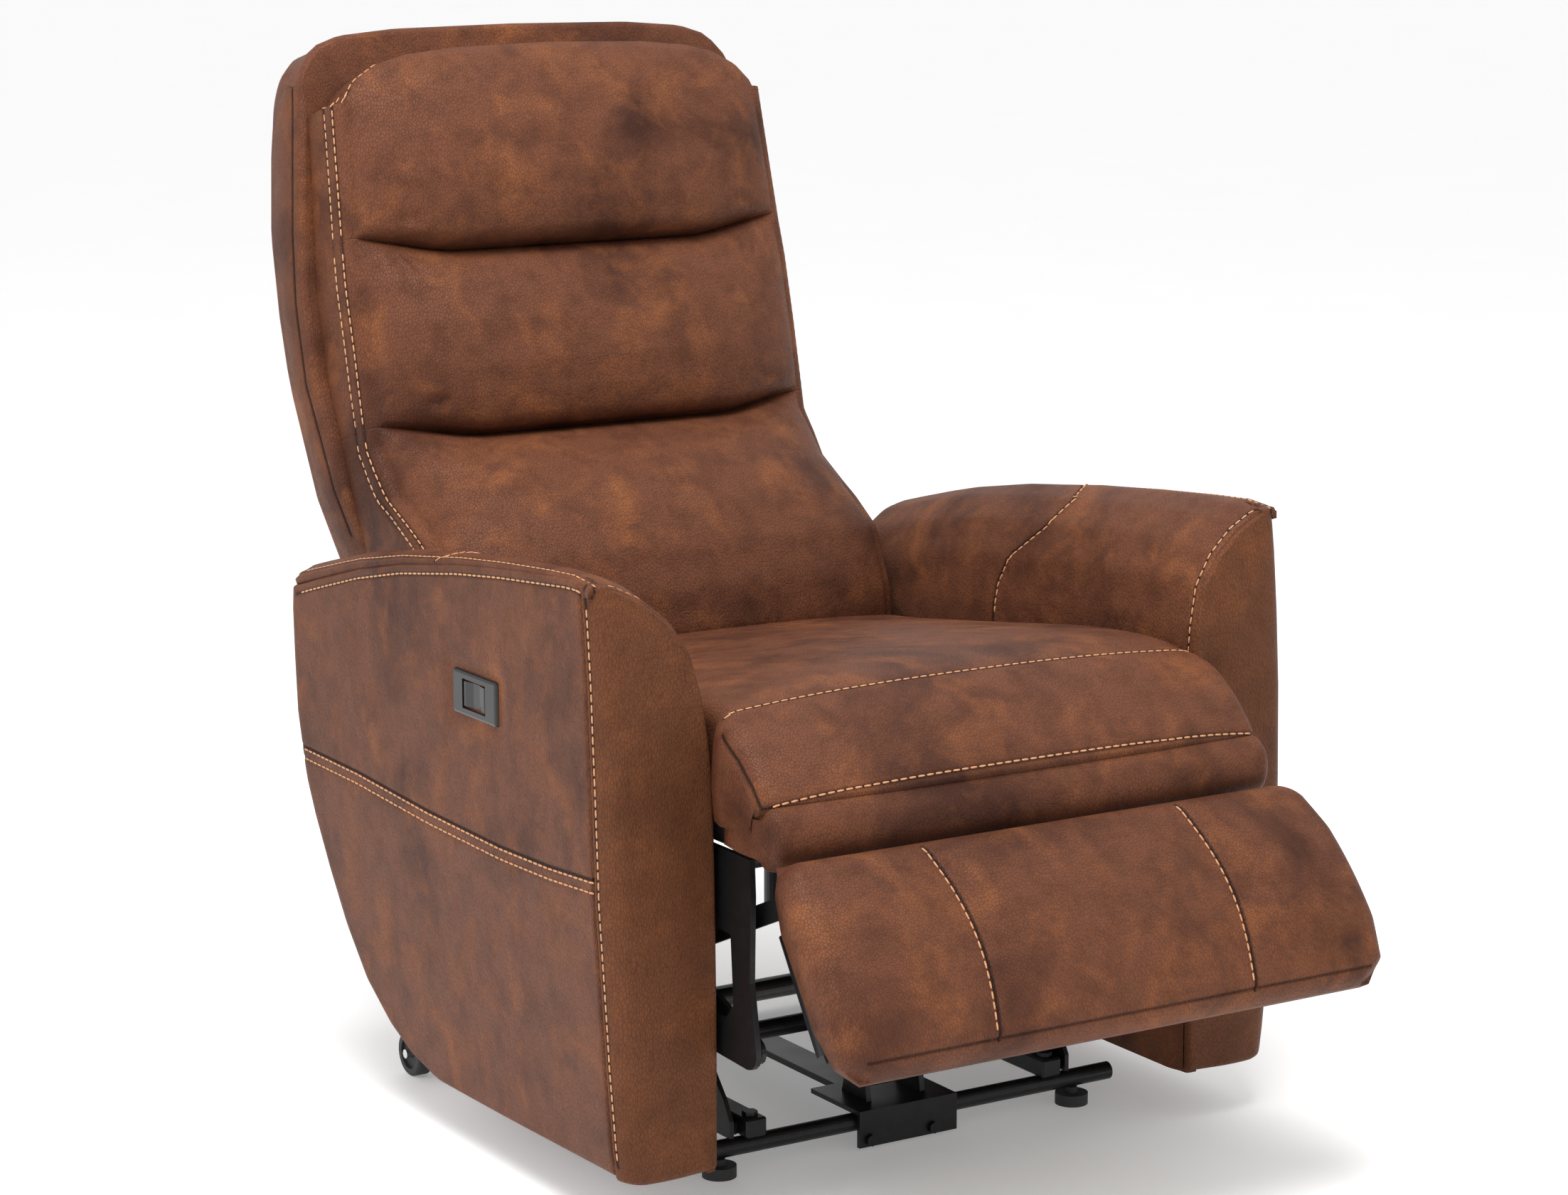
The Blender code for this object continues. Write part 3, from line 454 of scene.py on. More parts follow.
# ---- materials
class Nodes:
    """A short way to write a material's nodes."""

    def __init__(self, name):
        self.material = bpy.data.materials.new(name)
        self.material.use_nodes = True
        self.tree = self.material.node_tree
        self.shader = self.tree.nodes["Principled BSDF"]
        self.place = self.add("ShaderNodeTexCoord").outputs["Object"]

    def add(self, kind, **settings):
        node = self.tree.nodes.new(kind)
        for key, value in settings.items():
            setattr(node, key, value)
        return node

    def link(self, source, target):
        self.tree.links.new(source, target)

    def feed(self, name, source):
        self.link(source, self.shader.inputs[name])

    def set(self, name, value):
        self.shader.inputs[name].default_value = value

    def scaled(self, scale):
        node = self.add("ShaderNodeMapping")
        node.inputs["Scale"].default_value = scale
        self.link(self.place, node.inputs["Vector"])
        return node.outputs["Vector"]

    def noise(self, scale, detail=4.0, roughness=0.55, vector=None, distortion=0.0):
        node = self.add("ShaderNodeTexNoise")
        node.inputs["Scale"].default_value = scale
        node.inputs["Detail"].default_value = detail
        node.inputs["Roughness"].default_value = roughness
        node.inputs["Distortion"].default_value = distortion
        self.link(vector or self.place, node.inputs["Vector"])
        return node.outputs["Fac"]

    def cells(self, scale, vector):
        node = self.add("ShaderNodeTexVoronoi", feature="DISTANCE_TO_EDGE")
        node.inputs["Scale"].default_value = scale
        self.link(vector, node.inputs["Vector"])
        return node.outputs["Distance"]

    def ramp(self, value, *stops):
        node = self.add("ShaderNodeValToRGB")
        elements = node.color_ramp.elements
        while len(elements) < len(stops):
            elements.new(0.5)
        for element, (position, color) in zip(elements, stops):
            element.position = position
            element.color = (*color, 1.0)
        self.link(value, node.inputs["Fac"])
        return node.outputs["Color"]

    def mix(self, share, first, second):
        node = self.add("ShaderNodeMix", data_type="RGBA")
        for source, target in ((share, node.inputs[0]), (first, node.inputs[6]), (second, node.inputs[7])):
            if isinstance(source, bpy.types.NodeSocket):
                self.link(source, target)
            else:
                target.default_value = source
        return node.outputs[2]

    def attribute(self, name):
        return self.add("ShaderNodeAttribute", attribute_name=name).outputs["Fac"]

    def bump(self, height, strength, distance, normal=None):
        node = self.add("ShaderNodeBump")
        node.inputs["Strength"].default_value = strength
        node.inputs["Distance"].default_value = distance
        self.link(height, node.inputs["Height"])
        if normal is not None:
            self.link(normal, node.inputs["Normal"])
        return node.outputs["Normal"]

    def range(self, value, low, high):
        node = self.add("ShaderNodeMapRange")
        node.inputs["To Min"].default_value = low
        node.inputs["To Max"].default_value = high
        self.link(value, node.inputs["Value"])
        return node.outputs["Result"]


def grey(value):
    return (value, value, value)


LEATHER_BROWNS = ((0.046, 0.0155, 0.0088), (0.128, 0.0455, 0.0225), (0.285, 0.098, 0.032))
# The colour of the painted shade in seam grooves and creases.
CREASE_SHADE_COLOR = (0.012, 0.0045, 0.003, 1.0)


def leather(name, warmth=0.0, shade=1.0):
    """Waxed brown leather: cloudy dark and tan patches, a crackled grain, and painted shade in seams and
    creases.
    """
    n = Nodes(name)
    dark, brown, tan = [tuple(shade * c for c in color) for color in LEATHER_BROWNS]
    cloud = n.noise(5.5, 5.0, 0.56, distortion=0.35)
    color = n.ramp(cloud, (0.3, dark), (0.47, brown), (0.62, brown), (0.8, tan))
    patch = n.noise(15.0, 4.0, 0.6, distortion=0.5)
    color = n.mix(n.ramp(patch, (0.5, grey(0.0)), (0.78, grey(0.55))), color, (*tan, 1.0))
    blotch = n.noise(28.0, 5.0, 0.62)
    color = n.mix(n.ramp(blotch, (0.34, grey(0.42)), (0.55, grey(0.0))), color, (*dark, 1.0))
    if warmth:
        color = n.mix(warmth, color, (*tan, 1.0))
    cracks = n.cells(330.0, n.scaled((1.0, 1.0, 0.55)))
    pores = n.noise(900.0, 3.0, 0.6, n.scaled((1.0, 1.0, 0.62)))
    lines = n.ramp(cracks, (0.0, grey(0.0)), (0.09, grey(0.85)), (0.3, grey(1.0)))
    color = n.mix(n.ramp(cracks, (0.0, grey(0.4)), (0.1, grey(0.0))), color, (*dark, 1.0))
    # Painted shade: the leather turns dark where seams and creases have set their attribute.
    crease_shade = n.attribute("crease_shade")
    color = n.mix(n.ramp(crease_shade, (0.1, grey(0.0)), (0.9, grey(0.88))), color, CREASE_SHADE_COLOR)
    n.feed("Base Color", color)
    n.feed("Roughness", n.range(patch, 0.4, 0.58))
    n.set("Specular IOR Level", 0.12)
    waves = n.bump(n.noise(15.0, 3.0, 0.5), 0.35, 0.006)
    soft = n.bump(n.noise(60.0, 3.0, 0.5), 0.25, 0.0025, waves)
    grain = n.bump(lines, 0.6, 0.0008, soft)
    n.feed("Normal", n.bump(pores, 0.4, 0.0005, grain))
    return n.material


def plain(name, color, roughness, metallic=0.0, speckle=90.0, depth=0.00015, spread=0.08):
    """A hard material with a little unevenness."""
    n = Nodes(name)
    dust = n.noise(speckle, 4.0, 0.6)
    light = tuple(min(1.0, c * 1.35 + 0.002) for c in color)
    wear = n.range(n.noise(22.0, 3.0), roughness - spread, roughness + spread)
    n.feed("Base Color", n.ramp(dust, (0.35, color), (0.75, light)))
    n.feed("Roughness", wear)
    n.set("Metallic", metallic)
    n.feed("Normal", n.bump(dust, 0.25, depth))
    return n.material


def streaked(n, pattern, dark, light, roughness, strength, depth):
    """Makes a material turn from dark to light with a pattern, which also raises it."""
    n.feed("Base Color", n.ramp(pattern, (0.3, dark), (0.7, light)))
    n.set("Roughness", roughness)
    n.feed("Normal", n.bump(pattern, strength, depth))
    return n.material


def board_material():
    """Pale plywood with its grain along X."""
    n = Nodes("plywood")
    grain = n.noise(14.0, 6.0, 0.65, n.scaled((1.0, 9.0, 9.0)), 0.6)
    return streaked(n, grain, (0.34, 0.21, 0.11), (0.6, 0.43, 0.26), 0.7, 0.3, 0.0006)


def thread_material():
    """Tan thread with a fine twist."""
    n = Nodes("thread")
    twist = n.noise(700.0, 2.0)
    return streaked(n, twist, (0.42, 0.18, 0.08), (0.62, 0.33, 0.16), 0.6, 0.4, 0.0003)


LEATHER = leather("leather_body")
# The arms' fronts: a darker copy of the leather for painted shade, also mixed a quarter of the way to tan.
LEATHER_FRONT_SHADED = leather("leather_front_shaded", 0.25, 0.72)
# A darker copy of the leather for painted shade, used on the arms' hidden cores and the frame's parts in
# the leather_shade slot.
LEATHER_SHADED = leather("leather_shade", 0.0, 0.7)
BLACK_STEEL = plain("black_steel", (0.014, 0.014, 0.015), 0.38, 0.55)
ZINC = plain("bright_steel", (0.56, 0.56, 0.55), 0.3, 1.0)
RUBBER = plain("rubber", (0.022, 0.022, 0.023), 0.72, 0.0, 240.0, 0.0004)
MOTOR = plain("motor_black", (0.024, 0.025, 0.027), 0.5, 0.0, 300.0, 0.0002)
GREY_PLASTIC = plain("grey_plastic", (0.085, 0.085, 0.09), 0.55, 0.0, 300.0, 0.0002)
GLOSS = plain("switch_black", (0.006, 0.006, 0.007), 0.34, 0.0, 60.0, 0.00005, 0.04)
LINING = plain("dark_lining", (0.020, 0.018, 0.017), 0.9, 0.0, 400.0, 0.0003)
BOARD = board_material()
THREAD = thread_material()


# ---- the back
# The back is set out by x across it, s up its lean and n behind its front line.
LEAN = radians(19.0)
BACK_START = (0.61, 0.686)
CUSHION_ROUND = 0.015
CROWN_POWER = 0.6
SIDE_X = 0.28
TUCK = 0.012
UPPER_CHANNEL = 0.2085
LOWER_CHANNEL = 0.001
CUSHION_FOOT = -0.305
SHELL_LOW = -0.285
SHELL_HIGH = 0.4
SHELL_FRONT_ROUND = 0.009
SHELL_REAR_ROUND = 0.034


def back_space(x, s, n):
    """Points of the back as x, y and z."""
    x, s, n = np.broadcast_arrays(x, s, n)
    y = BACK_START[0] + s * sin(LEAN) + n * cos(LEAN)
    z = BACK_START[1] + s * cos(LEAN) - n * sin(LEAN)
    return np.stack([x, y, z], axis=-1)


# Against s: half the cushions' width, where their stitched edges lie, and where their boxing ends.
CUSHION_WIDTH = ((-0.31, 0.279), (-0.12, 0.281), (-0.05, 0.285), (0.16, 0.285), (0.24, 0.281),
                 (0.34, 0.276), (0.395, 0.268))
STITCHED_EDGE = ((-0.31, -0.09), (-0.25, -0.102), (-0.18, -0.094), (-0.139, -0.062),
                 (-0.08, -0.005), (-0.02, 0.02), (0.085, 0.009), (0.2, 0.0), (0.36, -0.018),
                 (0.43, -0.02))
BOXING_END = ((-0.31, 0.06), (-0.065, 0.077), (0.0, 0.083), (0.07, 0.091), (0.16, 0.084), (0.24, 0.07),
              (0.34, 0.05), (0.4, 0.046), (0.47, 0.046))
SHELL_WIDTH = ((-0.285, 0.262), (-0.2, 0.272), (-0.12, 0.284), (-0.05, 0.297), (0.07, 0.303),
               (0.16, 0.303), (0.24, 0.299), (0.34, 0.29), (0.4, 0.281))
SHELL_REAR = ((-0.285, 0.155), (-0.1, 0.168), (0.1, 0.18), (0.26, 0.174), (0.38, 0.15),
              (0.46, 0.132))
# Against the distance from the middle: how high the cushions and the outer back reach.
TOP_OF_CUSHION = ((0.0, 0.417), (0.12, 0.414), (0.18, 0.408), (0.215, 0.399), (0.242, 0.383),
                  (0.258, 0.364), (0.268, 0.34))
TOP_OF_SHELL = ((0.0, 0.461), (0.15, 0.459), (0.22, 0.453), (0.252, 0.442), (0.27, 0.424),
                (0.281, 0.398))


def droop(x):
    """How far a channel hangs below its ends."""
    return 0.017 * smooth((0.275 - np.abs(x)) / 0.13)


def segment_side(sign, width, start, end, level):
    """One rounded edge and flat side of a back segment, at one level."""
    turns = quarter_turns(5)
    steps = steps_to_one(9)
    round_x = sign * (width - CUSHION_ROUND + CUSHION_ROUND * np.sin(turns))
    round_n = start + CUSHION_ROUND * (1.0 - np.cos(turns))
    flat_x = sign * (width + 0.002 * np.sin(steps * pi))
    flat_n = round_n[-1] + (end - round_n[-1]) * steps
    return back_space(np.concatenate([round_x, flat_x]), level, np.concatenate([round_n, flat_n]))


def segment_grid(low, high, profile, rows):
    """The outer skin of one back segment, with its front, two rounded edges and two sides.
    Its profile is n along its middle, against the share of its height."""
    front = cushion_columns()
    swell = np.maximum(1.0 - np.abs(front) ** 3.0, 0.0) ** CROWN_POWER
    lines = []
    for v in stations(1.0, 1.0 / rows, 0.008, 0.04):
        side = low(SIDE_X) + (high(SIDE_X) - low(SIDE_X)) * v
        width = read(CUSHION_WIDTH, side)
        x = front * (width - CUSHION_ROUND)
        s = low(x) + (high(x) - low(x)) * v
        edge = along(STITCHED_EDGE, s)
        crown = read(profile, v)
        hangs = low(0.0) > -0.2
        belly = 0.011 * np.exp(-((v - 0.07) / 0.06) ** 2) * hangs
        middle = back_space(x, s - belly * swell, edge + (crown - edge) * swell)
        end = read(BOXING_END, side) + TUCK
        left = segment_side(-1.0, width, edge[0], end, s[0])
        right = segment_side(1.0, width, edge[0], end, s[-1])
        lines.append(np.concatenate([left[::-1], middle, right]))
    return np.array(lines)


def back_places(grid):
    """The s and n of points of the back."""
    y = grid[..., 1] - BACK_START[0]
    z = grid[..., 2] - BACK_START[1]
    return y * sin(LEAN) + z * cos(LEAN), y * cos(LEAN) - z * sin(LEAN)


def inner_of(grid, share, depth):
    """The hidden back of a segment: its skin drawn in and pressed flat behind."""
    s, _ = back_places(grid)
    return back_space(grid[..., 0] * share, s, along(BOXING_END, s) + depth)


def add_top(grid):
    """Carries a segment's last row back over its top edge to the shell."""
    last = grid[-1]
    s, n = back_places(last)
    end = along(BOXING_END, s) + TUCK
    rows = []
    for t in steps_to_one(9):
        rows.append(back_space(last[:, 0], s + 0.003 * sin(pi * t) - 0.002 * t, n + (end - n) * t))
    return np.concatenate([grid, np.array(rows)])


# Each segment's n along its middle, against the share of its height.
HEAD = ((0.0, 0.01), (0.03, -0.02), (0.08, -0.037), (0.16, -0.047), (0.32, -0.054),
        (0.55, -0.054), (0.75, -0.047), (0.88, -0.038), (0.96, -0.028), (1.0, -0.019))
MIDDLE = ((0.0, 0.016), (0.03, -0.014), (0.08, -0.031), (0.16, -0.042), (0.32, -0.05),
          (0.55, -0.049), (0.75, -0.04), (0.9, -0.024), (0.97, -0.006), (1.0, 0.012))
LUMBAR = ((0.0, -0.112), (0.1, -0.127), (0.25, -0.134), (0.42, -0.13), (0.58, -0.116), (0.72, -0.093),
          (0.84, -0.064), (0.92, -0.036), (0.97, -0.01), (1.0, 0.016))


def upper_channel(x):
    return UPPER_CHANNEL - droop(x)


def lower_channel(x):
    return LOWER_CHANNEL - droop(x)


def cushion_foot(x):
    return np.full(np.shape(x), CUSHION_FOOT)


def cushion_top(x):
    return along(TOP_OF_CUSHION, np.abs(x))


def build_back():
    """The head, middle and lumbar cushions, from the top down."""
    made = []
    for name, low, high, profile, rows in (
        ("back_head", upper_channel, cushion_top, HEAD, 34),
        ("back_middle", lower_channel, upper_channel, MIDDLE, 34),
        ("back_lumbar", cushion_foot, lower_channel, LUMBAR, 40),
    ):
        outer = segment_grid(low, high, profile, rows)
        if name == "back_head":
            outer = add_top(outer)
        inner = inner_of(outer, 0.93, 0.014)
        piece = pad(name, outer, inner, LEATHER, "back")
        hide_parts(name + "_cushion")
        made.append(piece)
    return made


def shell_half(width, front, rear):
    """Half a ring round the outer back, from the middle of its front to the middle of its rear."""
    near = SHELL_FRONT_ROUND
    far = SHELL_REAR_ROUND
    x = []
    n = []
    for share in np.linspace(0.0, 1.0, 24):
        x.append(share * (width - near))
        n.append(front)
    for turn in quarter_turns(6):
        x.append(width - near + near * sin(turn))
        n.append(front + near * (1.0 - cos(turn)))
    for share in steps_to_one(14):
        x.append(width + 0.003 * sin(share * pi))
        n.append(front + near + (rear - far - front - near) * share)
    for turn in quarter_turns(9):
        x.append(width - far * (1.0 - cos(turn)))
        n.append(rear - far + far * sin(turn))
    for share in np.linspace(1.0, 0.0, 24)[1:]:
        x.append(share * (width - far))
        n.append(rear + 0.01 * (1.0 - share ** 2))
    return np.array(x), np.array(n)


def shell_ring(v):
    """One closed ring round the outer back, at a share v of its height, its top edge rounded."""
    side = SHELL_LOW + (SHELL_HIGH - SHELL_LOW) * v
    front = read(BOXING_END, side) + 0.002
    rear = read(SHELL_REAR, side)
    x, n = shell_half(read(SHELL_WIDTH, side), front, rear)
    x = np.concatenate([x, -x[-2:0:-1]])
    n = np.concatenate([n, n[-2:0:-1]])
    top = along(TOP_OF_SHELL, np.abs(x))
    s = SHELL_LOW + (top - SHELL_LOW) * v
    near = quarter_round(SHELL_FRONT_ROUND, top - s)
    far = quarter_round(SHELL_REAR_ROUND, top - s)
    share = (n - front) / (rear - front)
    n = n + near * (1.0 - share) - far * np.clip(share, 0.0, 1.0)
    return back_space(x, s, n)


def build_shell():
    rings = np.array([shell_ring(v) for v in stations(1.0, 0.008, 0.0025, 0.05)])
    shell = ring_pad("back_shell_leather", rings, LEATHER, "back")
    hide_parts("back_shell")
    return shell


# ---- the seat
# The seat's and the front band's side outlines, as (y, z), and half their widths against y.
SEAT_LINE = ((0.47, 0.43), (0.429, 0.449), (0.374, 0.456), (0.266, 0.471), (0.149, 0.488),
             (0.051, 0.502), (-0.031, 0.509), (-0.09, 0.508), (-0.13, 0.497), (-0.165, 0.478),
             (-0.19, 0.457), (-0.205, 0.44), (-0.21, 0.429))
APRON_LINE = ((-0.2, 0.432), (-0.211, 0.4305), (-0.2235, 0.42), (-0.2285, 0.405), (-0.2265, 0.388),
              (-0.216, 0.374), (-0.2, 0.368))
SEAT_WIDTH = ((-0.24, 0.293), (-0.14, 0.296), (-0.118, 0.29), (-0.104, 0.281), (0.45, 0.2795))
APRON_WIDTH = ((-0.24, 0.293), (0.0, 0.293))
BAR_END_ROUND = 0.006


def wrapped_bar(line, widths, wall_end, corner, rise, step=0.005):
    """A skin that follows a side profile, with rounded edges and flat side walls, and a hidden
    inner skin. wall_end gives where a side wall that starts at (y, z) ends."""
    path = spline([(0.0, y, z) for y, z in line], step)
    ahead = np.gradient(path, axis=0)
    outward = np.stack([np.zeros(len(path)), -ahead[:, 2], ahead[:, 1]], axis=1)
    outward /= np.linalg.norm(outward, axis=1, keepdims=True)
    across = cushion_columns()
    turns = quarter_turns(6)
    steps = steps_to_one(9)
    lift = rise * (1.0 - np.abs(across) ** 2.5)
    outer = []
    inner = []
    for spot, normal in zip(path, outward):
        width = read(widths, spot[1])
        x = across * (width - corner)
        middle = spot + normal * lift[:, None]
        round_x = width - corner + corner * np.sin(turns)
        rounded_edge = spot - normal * (corner * (1.0 - np.cos(turns)))[:, None]
        start = spot - normal * corner
        end = np.array([0.0, *wall_end(start[1], start[2])])
        wall = start + (end - start) * steps[:, None]
        side = np.concatenate([rounded_edge, wall])
        side_x = np.concatenate([round_x, width + 0.003 * np.sin(steps * pi)])
        row = np.concatenate([side[::-1], middle, side])
        row[:, 0] = np.concatenate([-side_x[::-1], x, side_x])
        outer.append(row)
        low = np.repeat(end[None, :], len(row), axis=0)
        low[:, 0] = row[:, 0] * 0.97
        inner.append(low)
    outer = np.array(outer)
    normals = np.repeat(outward[:, None, :], outer.shape[1], axis=1)
    return rolled(outer, normals, BAR_END_ROUND, ("first_row", "last_row")), np.array(inner)


def below_seat(y, z):
    return y, 0.4


def behind_apron(y, z):
    return -0.135, z


def build_seat():
    """The seat cushion and the band of leather below its front edge."""
    outer, inner = wrapped_bar(SEAT_LINE[::-1], SEAT_WIDTH, below_seat, 0.02, 0.01)
    seat = pad("seat_top", outer, inner, LEATHER, "seat")
    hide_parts("seat_cushion")
    outer, inner = wrapped_bar(APRON_LINE[::-1], APRON_WIDTH, behind_apron, 0.012, 0.004, 0.0035)
    apron = pad("seat_front_band", outer, inner, LEATHER, "seat", "leather_shade")
    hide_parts("seat_apron")
    return seat, apron


# ---- the footrest
SLOPE = radians(50.0)
FOOT_TOP = (-0.249, 0.392)


def foot_space(x, down, depth):
    """Points from their place across the footrest, down it, and behind its face."""
    x, down, depth = np.broadcast_arrays(x, down, depth)
    y = FOOT_TOP[0] - down * cos(SLOPE) + depth * sin(SLOPE)
    z = FOOT_TOP[1] - down * sin(SLOPE) - depth * cos(SLOPE)
    return np.stack([x, y, z], axis=-1)


# Half the footrest's width, against the distance down it.
FOOT_WIDTH = ((0.0, 0.298), (0.02, 0.309), (0.06, 0.318), (0.16, 0.323), (0.2, 0.317), (0.22, 0.298))
FOOT_LENGTH = 0.222
FOOT_ROUND = 0.02
FOOT_MIDDLE = 0.11
FOOT_DEPTH = 0.0262
DRAWN_IN = 0.985


def foot_seam(sign, down):
    """The x of a curved seam of the footrest."""
    return sign * 0.15 + 0.012 * np.sin(np.clip(down / 0.215, 0.0, 1.0) * pi)


def build_footrest():
    """The footrest's pad: a crown down it, and a puff between its seams."""
    radius = FOOT_ROUND
    across = stations(2.0, 0.016, 0.006, 0.06) * 2.0 - 1.0
    outer = []
    inner = []
    for v in stations(FOOT_LENGTH, 0.005, 0.0022, 0.024):
        down = -0.002 + FOOT_LENGTH * v
        width = read(FOOT_WIDTH, down)
        x = across * width
        end = min(v, 1.0 - v) * FOOT_LENGTH
        side = (1.0 - np.abs(across)) * width
        corner = np.clip(radius - end, 0.0, radius) ** 2 + np.clip(radius - side, 0.0, radius) ** 2
        drop = radius - np.sqrt(np.maximum(radius ** 2 - np.minimum(corner, radius ** 2), 0.0))
        gap = np.minimum(np.abs(x - foot_seam(-1.0, down)), np.abs(x - foot_seam(1.0, down)))
        puff = 0.006 * smooth(gap / 0.06) * smooth(end / 0.07) * smooth(side / 0.05)
        crown = 0.014 * sin(pi * v)
        back = FOOT_MIDDLE + (down - FOOT_MIDDLE) * DRAWN_IN
        outer.append(foot_space(x, down, -0.004 + drop - puff - crown))
        inner.append(foot_space(x * DRAWN_IN, back, FOOT_DEPTH))
    piece = pad("footrest_pad", np.array(outer), np.array(inner), LEATHER, "footrest")
    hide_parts("footrest_cushion")
    return piece


# ---- the arms
# The arm's front and rear as y against z, its top seam as z against y, and its outer side as x
# against z.
FRONT_LINE = ((0.05, -0.112), (0.2, -0.1125), (0.35, -0.1095), (0.45, -0.1055), (0.53, -0.1),
              (0.59, -0.094), (0.64, -0.087))
TOP_SEAM = ((-0.095, 0.6345), (-0.047, 0.637), (0.008, 0.632), (0.094, 0.624), (0.183, 0.6135),
            (0.308, 0.594), (0.406, 0.573), (0.509, 0.545), (0.575, 0.526))
REAR_LINE = ((0.05, 0.27), (0.056, 0.305), (0.068, 0.352), (0.09, 0.396), (0.125, 0.442),
             (0.179, 0.482), (0.2315, 0.513), (0.282, 0.539), (0.317, 0.553), (0.39, 0.571),
             (0.5, 0.577), (0.56, 0.572))
OUTER_WIDTH = ((0.045, 0.386), (0.055, 0.3895), (0.085, 0.393), (0.17, 0.4), (0.33, 0.4085),
               (0.45, 0.4095), (0.64, 0.4085))
# The welt round the arm's front as (x, z), from the foot of its inner face up and over to the side.
WELT = ((0.2865, 0.05), (0.2865, 0.44), (0.29, 0.48), (0.295, 0.52), (0.305, 0.56), (0.325, 0.59),
        (0.352, 0.613), (0.38, 0.628), (0.4085, 0.6345))
CORNER = 0.022
REAR_CORNER = 0.022
SIDE_LOW = 0.052
SIDE_HIGH = 0.636
FRONT_LOW = 0.05
FRONT_HIGH = 0.6362
EDGE_ROLL = 0.0045


def side_row(v):
    """One line along an arm's outer side, from the front seam round the rear corner."""
    level = 0.5
    for _ in range(6):
        y_end = read(REAR_LINE, level)
        level = SIDE_LOW + (read(TOP_SEAM, y_end) - SIDE_LOW) * v
    z_start = SIDE_LOW + (SIDE_HIGH - SIDE_LOW) * v
    y_start = read(FRONT_LINE, z_start) + CORNER + 0.0015
    y = y_start + (y_end - REAR_CORNER - y_start) * stations(0.6, 0.0055)
    z = SIDE_LOW + (along(TOP_SEAM, y) - SIDE_LOW) * v
    turns = quarter_turns(8)
    edge = read(OUTER_WIDTH, level)
    y_round = y_end - REAR_CORNER + REAR_CORNER * np.sin(turns)
    x_round = edge - REAR_CORNER * (1.0 - np.cos(turns))
    x_flat = np.linspace(edge - REAR_CORNER, 0.3, 16)[1:]
    flat = len(x_flat)
    return (
        np.concatenate([along(OUTER_WIDTH, z), x_round, x_flat]),
        np.concatenate([y, y_round, np.full(flat, y_end)]),
        np.concatenate([z, np.linspace(z[-1], level, len(turns)), np.full(flat, level)]),
    )


def lift_round_switch(outer):
    """Brings the leather out round the switch's bezel."""
    low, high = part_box("switch_bezel")
    middle = (low + high) / 2
    gap_y = np.maximum(np.abs(outer[..., 1] + Y0 - middle.y) - (high.y - low.y) / 2, 0.0)
    gap_z = np.maximum(np.abs(outer[..., 2] - middle.z) - (high.z - low.z) / 2, 0.0)
    near = np.exp(-(np.hypot(gap_y, gap_z) / 0.012) ** 2)
    outer[..., 0] += near * 0.0032


def build_side_panel(word, sign):
    rows = []
    for v in stations(0.56, 0.0055):
        x, y, z = side_row(v)
        rows.append(np.stack([sign * x, y, z], axis=-1))
    outer = np.array(rows)
    normals = grid_normals(outer)
    if (normals[..., 0] * sign).mean() < 0:
        normals = -normals
    outer = rolled(outer, normals, EDGE_ROLL, ("first_column", "last_row"))
    outer = rolled(outer, normals, 0.014, ("first_row",))
    if word == "left":
        lift_round_switch(outer)
    inner = outer - normals * 0.012
    piece = pad(f"arm_{word}_side", outer, inner, LEATHER, "seat")
    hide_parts(f"arm_side_panel_{word}")
    return piece


def front_row(v):
    """One line across an arm's front, from the welt round the outer corner."""
    path = resampled([(x, 0.0, z) for x, z in WELT], 0.002)
    x_start, _, z_start = path[int(round(v * (len(path) - 1)))]
    z_end = FRONT_LOW + (FRONT_HIGH - FRONT_LOW) * v
    shares = stations(0.16, 0.005, 0.0018, 0.009)
    z = z_start + (z_end - z_start) * shares
    edge = along(OUTER_WIDTH, z) - CORNER
    start = np.minimum(x_start, edge[0] + 0.002)
    arc = CORNER * pi / 2
    round_corner = CORNER * np.arcsin(np.clip((start - edge[0]) / CORNER, 0, 1))
    first = np.where(start <= edge[0], start - edge[0], round_corner)
    at = first + (arc + 0.0005 - first) * shares
    turn = np.clip(at / CORNER, 0.0, pi / 2)
    x = edge + np.where(at < 0.0, at, CORNER * np.sin(turn))
    y = along(FRONT_LINE, z) + CORNER * (1.0 - np.cos(turn)) + np.maximum(at - arc, 0.0)
    return np.stack([x, y, z], axis=-1)


def build_front_panel(word, sign):
    outer = np.array([front_row(v) for v in stations(0.68, 0.006, 0.0018, 0.009)])
    outer[..., 0] *= sign
    normals = grid_normals(outer)
    if normals[..., 1].mean() > 0:
        normals = -normals
    edges = ("first_column", "last_column", "last_row")
    gap = edge_distance(outer, edges)
    outer = outer + normals * (0.0045 * smooth(gap / 0.055))[..., None]
    outer = rolled(outer, normals, EDGE_ROLL, edges)
    outer = rolled(outer, normals, 0.010, ("first_row",))
    inner = outer - normals * 0.01
    piece = pad(f"arm_{word}_front", outer, inner, LEATHER_FRONT_SHADED, "seat")
    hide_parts(f"arm_front_panel_{word}")
    return piece


# How far the arm's pad swells above its side seam, against y.
CROWN = ((-0.09, 0.0015), (-0.05, 0.008), (0.0, 0.013), (0.09, 0.016), (0.25, 0.022), (0.45, 0.032),
         (0.56, 0.034))
PAD_FRONT = -0.087
PAD_REAR = 0.56
SEAM_Z = 0.6345
INNER_WALL = 0.2865
WELT_STEP = 0.002


